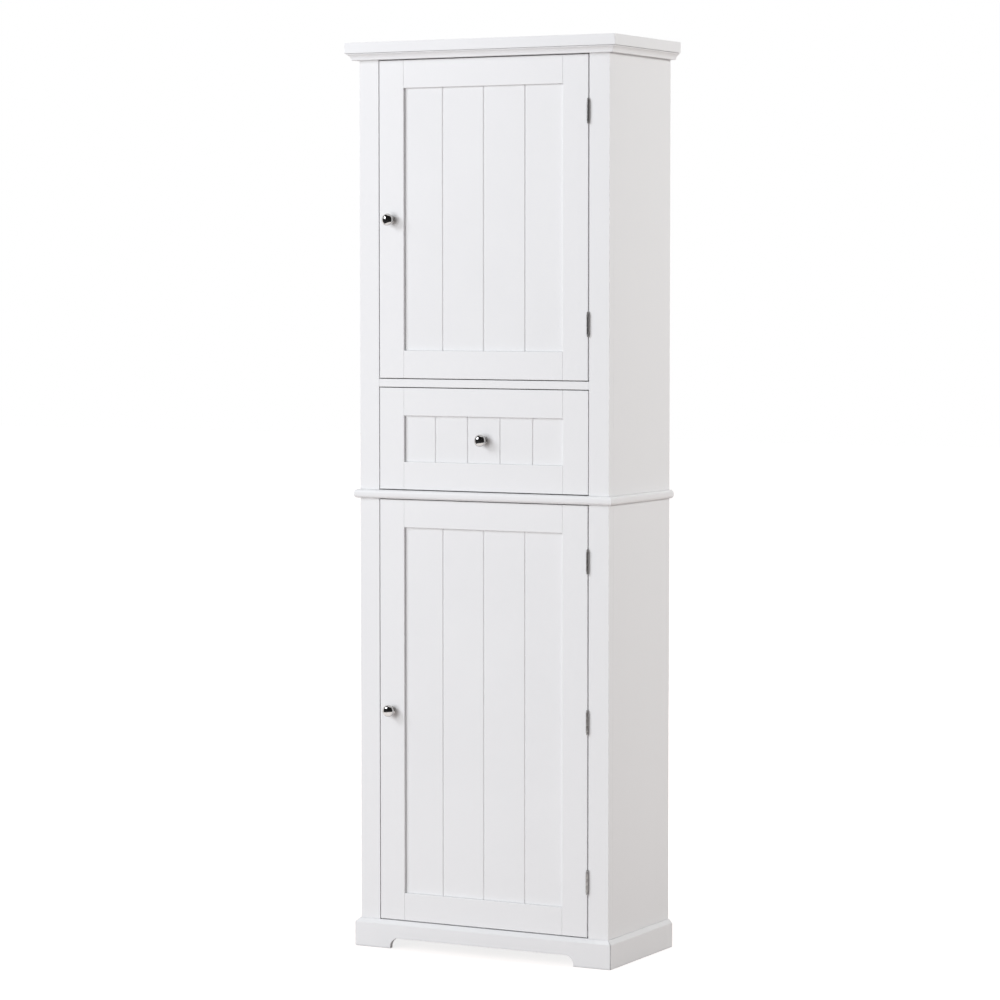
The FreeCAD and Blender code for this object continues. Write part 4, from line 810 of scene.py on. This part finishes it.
class CABINET_OT_drive_screws(bpy.types.Operator):
    """Makes the screws, with cross recesses in their heads"""

    bl_idname = "cabinet.drive_screws"
    bl_label = "Drive Screws"

    recess_share: share("Recess", "Width of the cross recess as a share of the head", 0.56)
    recess_depth: share("Recess Depth", "Depth of the cross recess as a share of the head's height", 0.75)
    recess_taper: share("Recess Taper", "Width of the recess's floor as a share of its mouth", 0.7)
    bar_share: share("Bar", "Width of the cross's bars as a share of the head", 0.15)
    bevel: length("Bevel", "Bevel round the head's face", 0.15)

    def measure(self, points):
        """Finds a screw solid's sizes.

        They are the head's centre, outward direction, radius and height, the shank's radius and the length.
        """
        low, high = corners(points)
        size = high - low
        along = max(range(3), key=lambda axis: size[axis])
        centre = (low + high) / 2
        across = [axis for axis in range(3) if axis != along]

        def reach(point):
            return math.hypot(*(point[axis] - centre[axis] for axis in across))

        ends = {}
        for sign, plane in ((-1, low[along]), (1, high[along])):
            ends[sign] = max(reach(p) for p in points if abs(p[along] - plane) < WELD_DISTANCE)
        sign = max(ends, key=ends.get)
        head_radius = ends[sign]
        face = high[along] if sign > 0 else low[along]
        wide = [abs(p[along] - face) for p in points if reach(p) > head_radius - WELD_DISTANCE]
        direction = Vector((0, 0, 0))
        direction[along] = sign
        head = centre.copy()
        head[along] = face
        return head, direction, head_radius, max(wide), ends[-sign], size[along]

    def head_face(self, mesh, radius, matrix, depth):
        """Head's flat face with a cross-shaped recess sunk into it."""
        rim = circle(mesh, radius, 0, matrix, SCREW_SIDES)
        arm = radius * self.recess_share
        bar = radius * self.bar_share
        quarter = [(arm, -bar), (arm, bar), (bar, bar)]
        outline = []
        for turns in range(4):
            for x, y in quarter:
                for _ in range(turns):
                    x, y = -y, x
                outline.append((x, y))
        brink = [mesh.verts.new(matrix @ Vector((x, y, 0))) for x, y in outline]
        taper = self.recess_taper
        floor = [mesh.verts.new(matrix @ Vector((taper * x, taper * y, -depth))) for x, y in outline]
        loops = []
        for loop in (rim, brink):
            loops += [mesh.edges.new((loop[i], loop[(i + 1) % len(loop)])) for i in range(len(loop))]
        bmesh.ops.triangle_fill(mesh, use_beauty=True, edges=loops)
        for i in range(len(brink)):
            j = (i + 1) % len(brink)
            mesh.faces.new((brink[i], brink[j], floor[j], floor[i]))
        mesh.faces.new(floor)

    def execute(self, context):
        zinc = zinc_steel("Zinc Screws", hairlines=(2500, 2500, 2500), roughness=0.4)
        for node, body in SCREW_BODIES.items():
            mesh = bmesh.new()
            for points in islands(node):
                head, direction, head_radius, head_height, shank_radius, reach = self.measure(points)
                matrix = axis_matrix(head, direction)
                lip = head_radius - self.bevel
                profile = [(0, -reach), (shank_radius, shank_radius - reach), (shank_radius, -head_height),
                           (head_radius, -head_height), (head_radius, -self.bevel), (lip, 0)]
                turn(mesh, profile, matrix, SCREW_SIDES)
                self.head_face(mesh, lip, matrix, head_height * self.recess_depth)
            bmesh.ops.remove_doubles(mesh, verts=mesh.verts, dist=WELD_DISTANCE)
            piece(f"cross_head_{node}", mesh, zinc, body, [node])
        return {"FINISHED"}


class CABINET_OT_finish_fittings(bpy.types.Operator):
    """Finishes the pins, cam fittings, strike plates and dowels, and the catches with their steel poles"""

    bl_idname = "cabinet.finish_fittings"
    bl_label = "Finish Fittings"

    catch_edge: length("Catch Edge", "Rounding of a catch's body", 0.8)
    pole_width: length("Pole", "Width of a catch's steel pole", 1.6)
    pole_length: length("Pole Length", "Length of a catch's steel pole", 27)
    pole_spread: length("Pole Spread", "Distance between a catch's two poles", 6.5)
    pole_stand: length("Pole Stand", "How far the poles stand proud of the plastic", 0.12)

    def poles(self, mesh, points, opening):
        """Two steel poles in the face of a catch that meets the strike plate."""
        low, high = corners(points)
        face = min(point.y for point in points if point.x > opening + WELD_DISTANCE)
        middle = Vector(((opening + high.x) / 2, face, (low.z + high.z) / 2))
        for side in (-1, 1):
            x = middle.x + side * self.pole_spread / 2
            plate(mesh, (x - self.pole_width / 2, face - self.pole_stand, middle.z - self.pole_length / 2),
                  (x + self.pole_width / 2, face + self.pole_width, middle.z + self.pole_length / 2),
                  self.pole_stand / 2)

    def execute(self, context):
        zinc = zinc_steel("Zinc Fittings", hairlines=(2000, 2000, 2000), roughness=0.42)
        plates = [f"{door}_strike_plate" for door in DOORS]
        for node in ["shelf_pins", "cam_locks", "cam_bolts", *plates]:
            dress(node, zinc)
        for node in plates:
            soften(node, context.scene.cabinet_finish.sheet_radius)
        dress("dowels", plain_wood("Dowel Wood", grain=(12, 12, 2)))
        dress("door_catches", catch_plastic())
        soften("door_catches", self.catch_edge)
        mesh = bmesh.new()
        for points in islands("door_catches"):
            self.poles(mesh, points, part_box("frame_top_rail")[0].x)
        piece("catch_poles", mesh, zinc, "cabinet")
        return {"FINISHED"}


class CABINET_OT_finish_drawer_box(bpy.types.Operator):
    """Finishes the drawer box's sides, front and back and the slides' battens in clear wood"""

    bl_idname = "cabinet.finish_drawer_box"
    bl_label = "Finish Drawer Box"

    def execute(self, context):
        deep_grain = plain_wood("Wood Front to Back", grain=(14, 1.2, 14))
        cross_grain = plain_wood("Wood Side to Side", grain=(1.2, 14, 14))
        for node in ("drawer_box_sides", "slide_battens"):
            dress(node, deep_grain)
        for node in ("drawer_box_front", "drawer_box_back"):
            dress(node, cross_grain)
        for node in ("drawer_box_sides", "drawer_box_front", "drawer_box_back"):
            soften(node, context.scene.cabinet_finish.edge_radius)
        return {"FINISHED"}


class CABINET_OT_finish_slides(bpy.types.Operator):
    """Finishes the ball slides and rounds their rolled edges"""

    bl_idname = "cabinet.finish_slides"
    bl_label = "Finish Slides"

    def execute(self, context):
        zinc = zinc_steel("Zinc Slides", hairlines=(3000, 60, 3000), roughness=0.28)
        for node in ("slide_channels", "slide_rails", "slide_ball_cages"):
            dress(node, zinc)
        for node in ("slide_channels", "slide_rails"):
            soften(node, context.scene.cabinet_finish.sheet_radius)
        join_faces("slide_ball_cages")
        return {"FINISHED"}


class CABINET_OT_finish_backs(bpy.types.Operator):
    """Finishes the back panels and the drawer's bottom"""

    bl_idname = "cabinet.finish_backs"
    bl_label = "Finish Backs"

    def execute(self, context):
        board = back_board()
        for node in ("upper_back_panel", "lower_back_panel", "drawer_box_bottom"):
            dress(node, board)
        return {"FINISHED"}


class CABINET_OT_set_stage(bpy.types.Operator):
    """Sets the camera, the lamps, the floor and the white surround"""

    bl_idname = "cabinet.set_stage"
    bl_label = "Set Stage"

    def lamp(self, name, place, target, size, watts, tone):
        data = bpy.data.lights.new(name, "AREA")
        data.shape = "RECTANGLE"
        data.size, data.size_y = size
        data.energy = watts
        data.color = tone
        made = bpy.data.objects.new(name, data)
        made.location = place
        made.rotation_euler = (Vector(target) - Vector(place)).to_track_quat("-Z", "Y").to_euler()
        bpy.context.scene.collection.objects.link(made)
        return made

    def backdrop(self, name, mesh, material):
        data = bpy.data.meshes.new(name)
        mesh.to_mesh(data)
        mesh.free()
        data.materials.append(material)
        made = bpy.data.objects.new(name, data)
        bpy.context.scene.collection.objects.link(made)
        return made

    def floor(self, material):
        mesh = bmesh.new()
        bmesh.ops.create_grid(mesh, x_segments=1, y_segments=1, size=20)
        made = self.backdrop("floor", mesh, material)
        clearance = 0.5 * MM
        made.location.z = CAD_BOX[0].z - clearance

    def drape(self, material):
        """Black drape round the front that only reflections see: the dark side of polished metal."""
        profile = ((1.6, 0.02), (4.2, 0.05), (4.9, 0.8), (5.0, 2.4), (4.6, 4.6), (2.6, 6.0))
        first, last, steps = math.radians(-75), math.radians(118), 40
        mesh = bmesh.new()
        columns = []
        for step in range(steps + 1):
            around = first + (last - first) * step / steps
            columns.append([mesh.verts.new((radius * math.sin(around), -radius * math.cos(around), height))
                            for radius, height in profile])
        for left, right in zip(columns, columns[1:]):
            for row in range(len(profile) - 1):
                mesh.faces.new((left[row], right[row], right[row + 1], left[row + 1]))
        made = self.backdrop("black_drape", mesh, material)
        made.visible_camera = False
        made.visible_diffuse = False
        made.visible_transmission = False
        made.visible_shadow = False

    def surround(self, ambient):
        world = bpy.data.worlds.new("White Surround")
        bpy.context.scene.world = world
        world.use_nodes = True
        tree = world.node_tree
        tree.nodes.clear()
        lit = tree.nodes.new("ShaderNodeBackground")
        lit.inputs["Strength"].default_value = ambient
        white = tree.nodes.new("ShaderNodeBackground")
        for background in (lit, white):
            background.inputs["Color"].default_value = (1, 1, 1, 1)
        choice = tree.nodes.new("ShaderNodeMixShader")
        tree.links.new(seen_directly(tree), choice.inputs["Fac"])
        tree.links.new(lit.outputs["Background"], choice.inputs[1])
        tree.links.new(white.outputs["Background"], choice.inputs[2])
        output = tree.nodes.new("ShaderNodeOutputWorld")
        tree.links.new(choice.outputs["Shader"], output.inputs["Surface"])

    def execute(self, context):
        scene = context.scene
        stage = scene.cabinet_stage
        scene.view_settings.view_transform = "Standard"
        self.floor(studio_floor(stage))
        self.drape(drape_cloth())
        middle = (CAD_BOX[0] + CAD_BOX[1]) / 2
        self.surround(stage.ambient)
        cool, plain, warm = (0.92, 0.945, 1.0), (0.95, 0.975, 1.0), (1.0, 0.998, 0.992)
        self.lamp("key_lamp", (-2.7, -3.0, 2.8), middle, (1.4, 1.4), stage.key_power, cool)
        hidden = (self.lamp("front_lamp", (-1.2, -4.4, 1.3), middle, (2.5, 2.5), stage.front_power, plain),
                  self.lamp("side_lamp", (3.4, 0.7, 2.2), middle, (1.2, 1.2), stage.side_power, warm),
                  self.lamp("back_lamp", (-1.8, 3.8, 1.8), middle, (2.0, 2.0), stage.back_power, plain),
                  self.lamp("top_lamp", (0, 0.05, 4.4), (0, 0.05, 1.7), (1.0, 0.4), stage.top_power, plain))
        for made in hidden:
            made.visible_glossy = False
        camera = bpy.data.objects.new("camera", bpy.data.cameras.new("camera"))
        camera.data.lens = stage.camera_lens
        camera.location = stage.camera_place
        camera.rotation_euler = (math.pi / 2 - stage.camera_dip, 0, stage.camera_turn)
        scene.collection.objects.link(camera)
        scene.camera = camera
        return {"FINISHED"}


class CABINET_PT_builder(bpy.types.Panel):
    """Lists the steps and settings of the cabinet"""

    bl_idname = "CABINET_PT_builder"
    bl_label = "Linen Cabinet"
    bl_space_type = "VIEW_3D"
    bl_region_type = "UI"
    bl_category = "Cabinet"

    def draw(self, context):
        for step in STEPS:
            self.layout.operator(step.bl_idname)
        for settings in (context.scene.cabinet_finish, context.scene.cabinet_stage):
            box = self.layout.box()
            for name in settings.__annotations__:
                box.prop(settings, name)


STEPS = (CABINET_OT_mix_effects, CABINET_OT_paint_case, CABINET_OT_paint_doors, CABINET_OT_paint_panels,
         CABINET_OT_turn_knobs, CABINET_OT_fit_hinges, CABINET_OT_drive_screws, CABINET_OT_finish_fittings,
         CABINET_OT_finish_drawer_box, CABINET_OT_finish_slides, CABINET_OT_finish_backs,
         CABINET_OT_set_stage)
CLASSES = (CabinetFinish, CabinetStage, *STEPS, CABINET_PT_builder)


def register():
    for cls in CLASSES:
        bpy.utils.register_class(cls)
    bpy.types.Scene.cabinet_finish = PointerProperty(type=CabinetFinish)
    bpy.types.Scene.cabinet_stage = PointerProperty(type=CabinetStage)


def unregister():
    del bpy.types.Scene.cabinet_stage
    del bpy.types.Scene.cabinet_finish
    for cls in reversed(CLASSES):
        bpy.utils.unregister_class(cls)


def main():
    register()
    bpy.ops.cabinet.mix_effects()
    bpy.ops.cabinet.paint_case()
    bpy.ops.cabinet.paint_doors()
    bpy.ops.cabinet.paint_panels()
    bpy.ops.cabinet.turn_knobs()
    bpy.ops.cabinet.fit_hinges()
    bpy.ops.cabinet.drive_screws()
    bpy.ops.cabinet.finish_fittings()
    bpy.ops.cabinet.finish_drawer_box()
    bpy.ops.cabinet.finish_slides()
    bpy.ops.cabinet.finish_backs()
    bpy.ops.cabinet.set_stage()


if __name__ == "__main__":
    main()
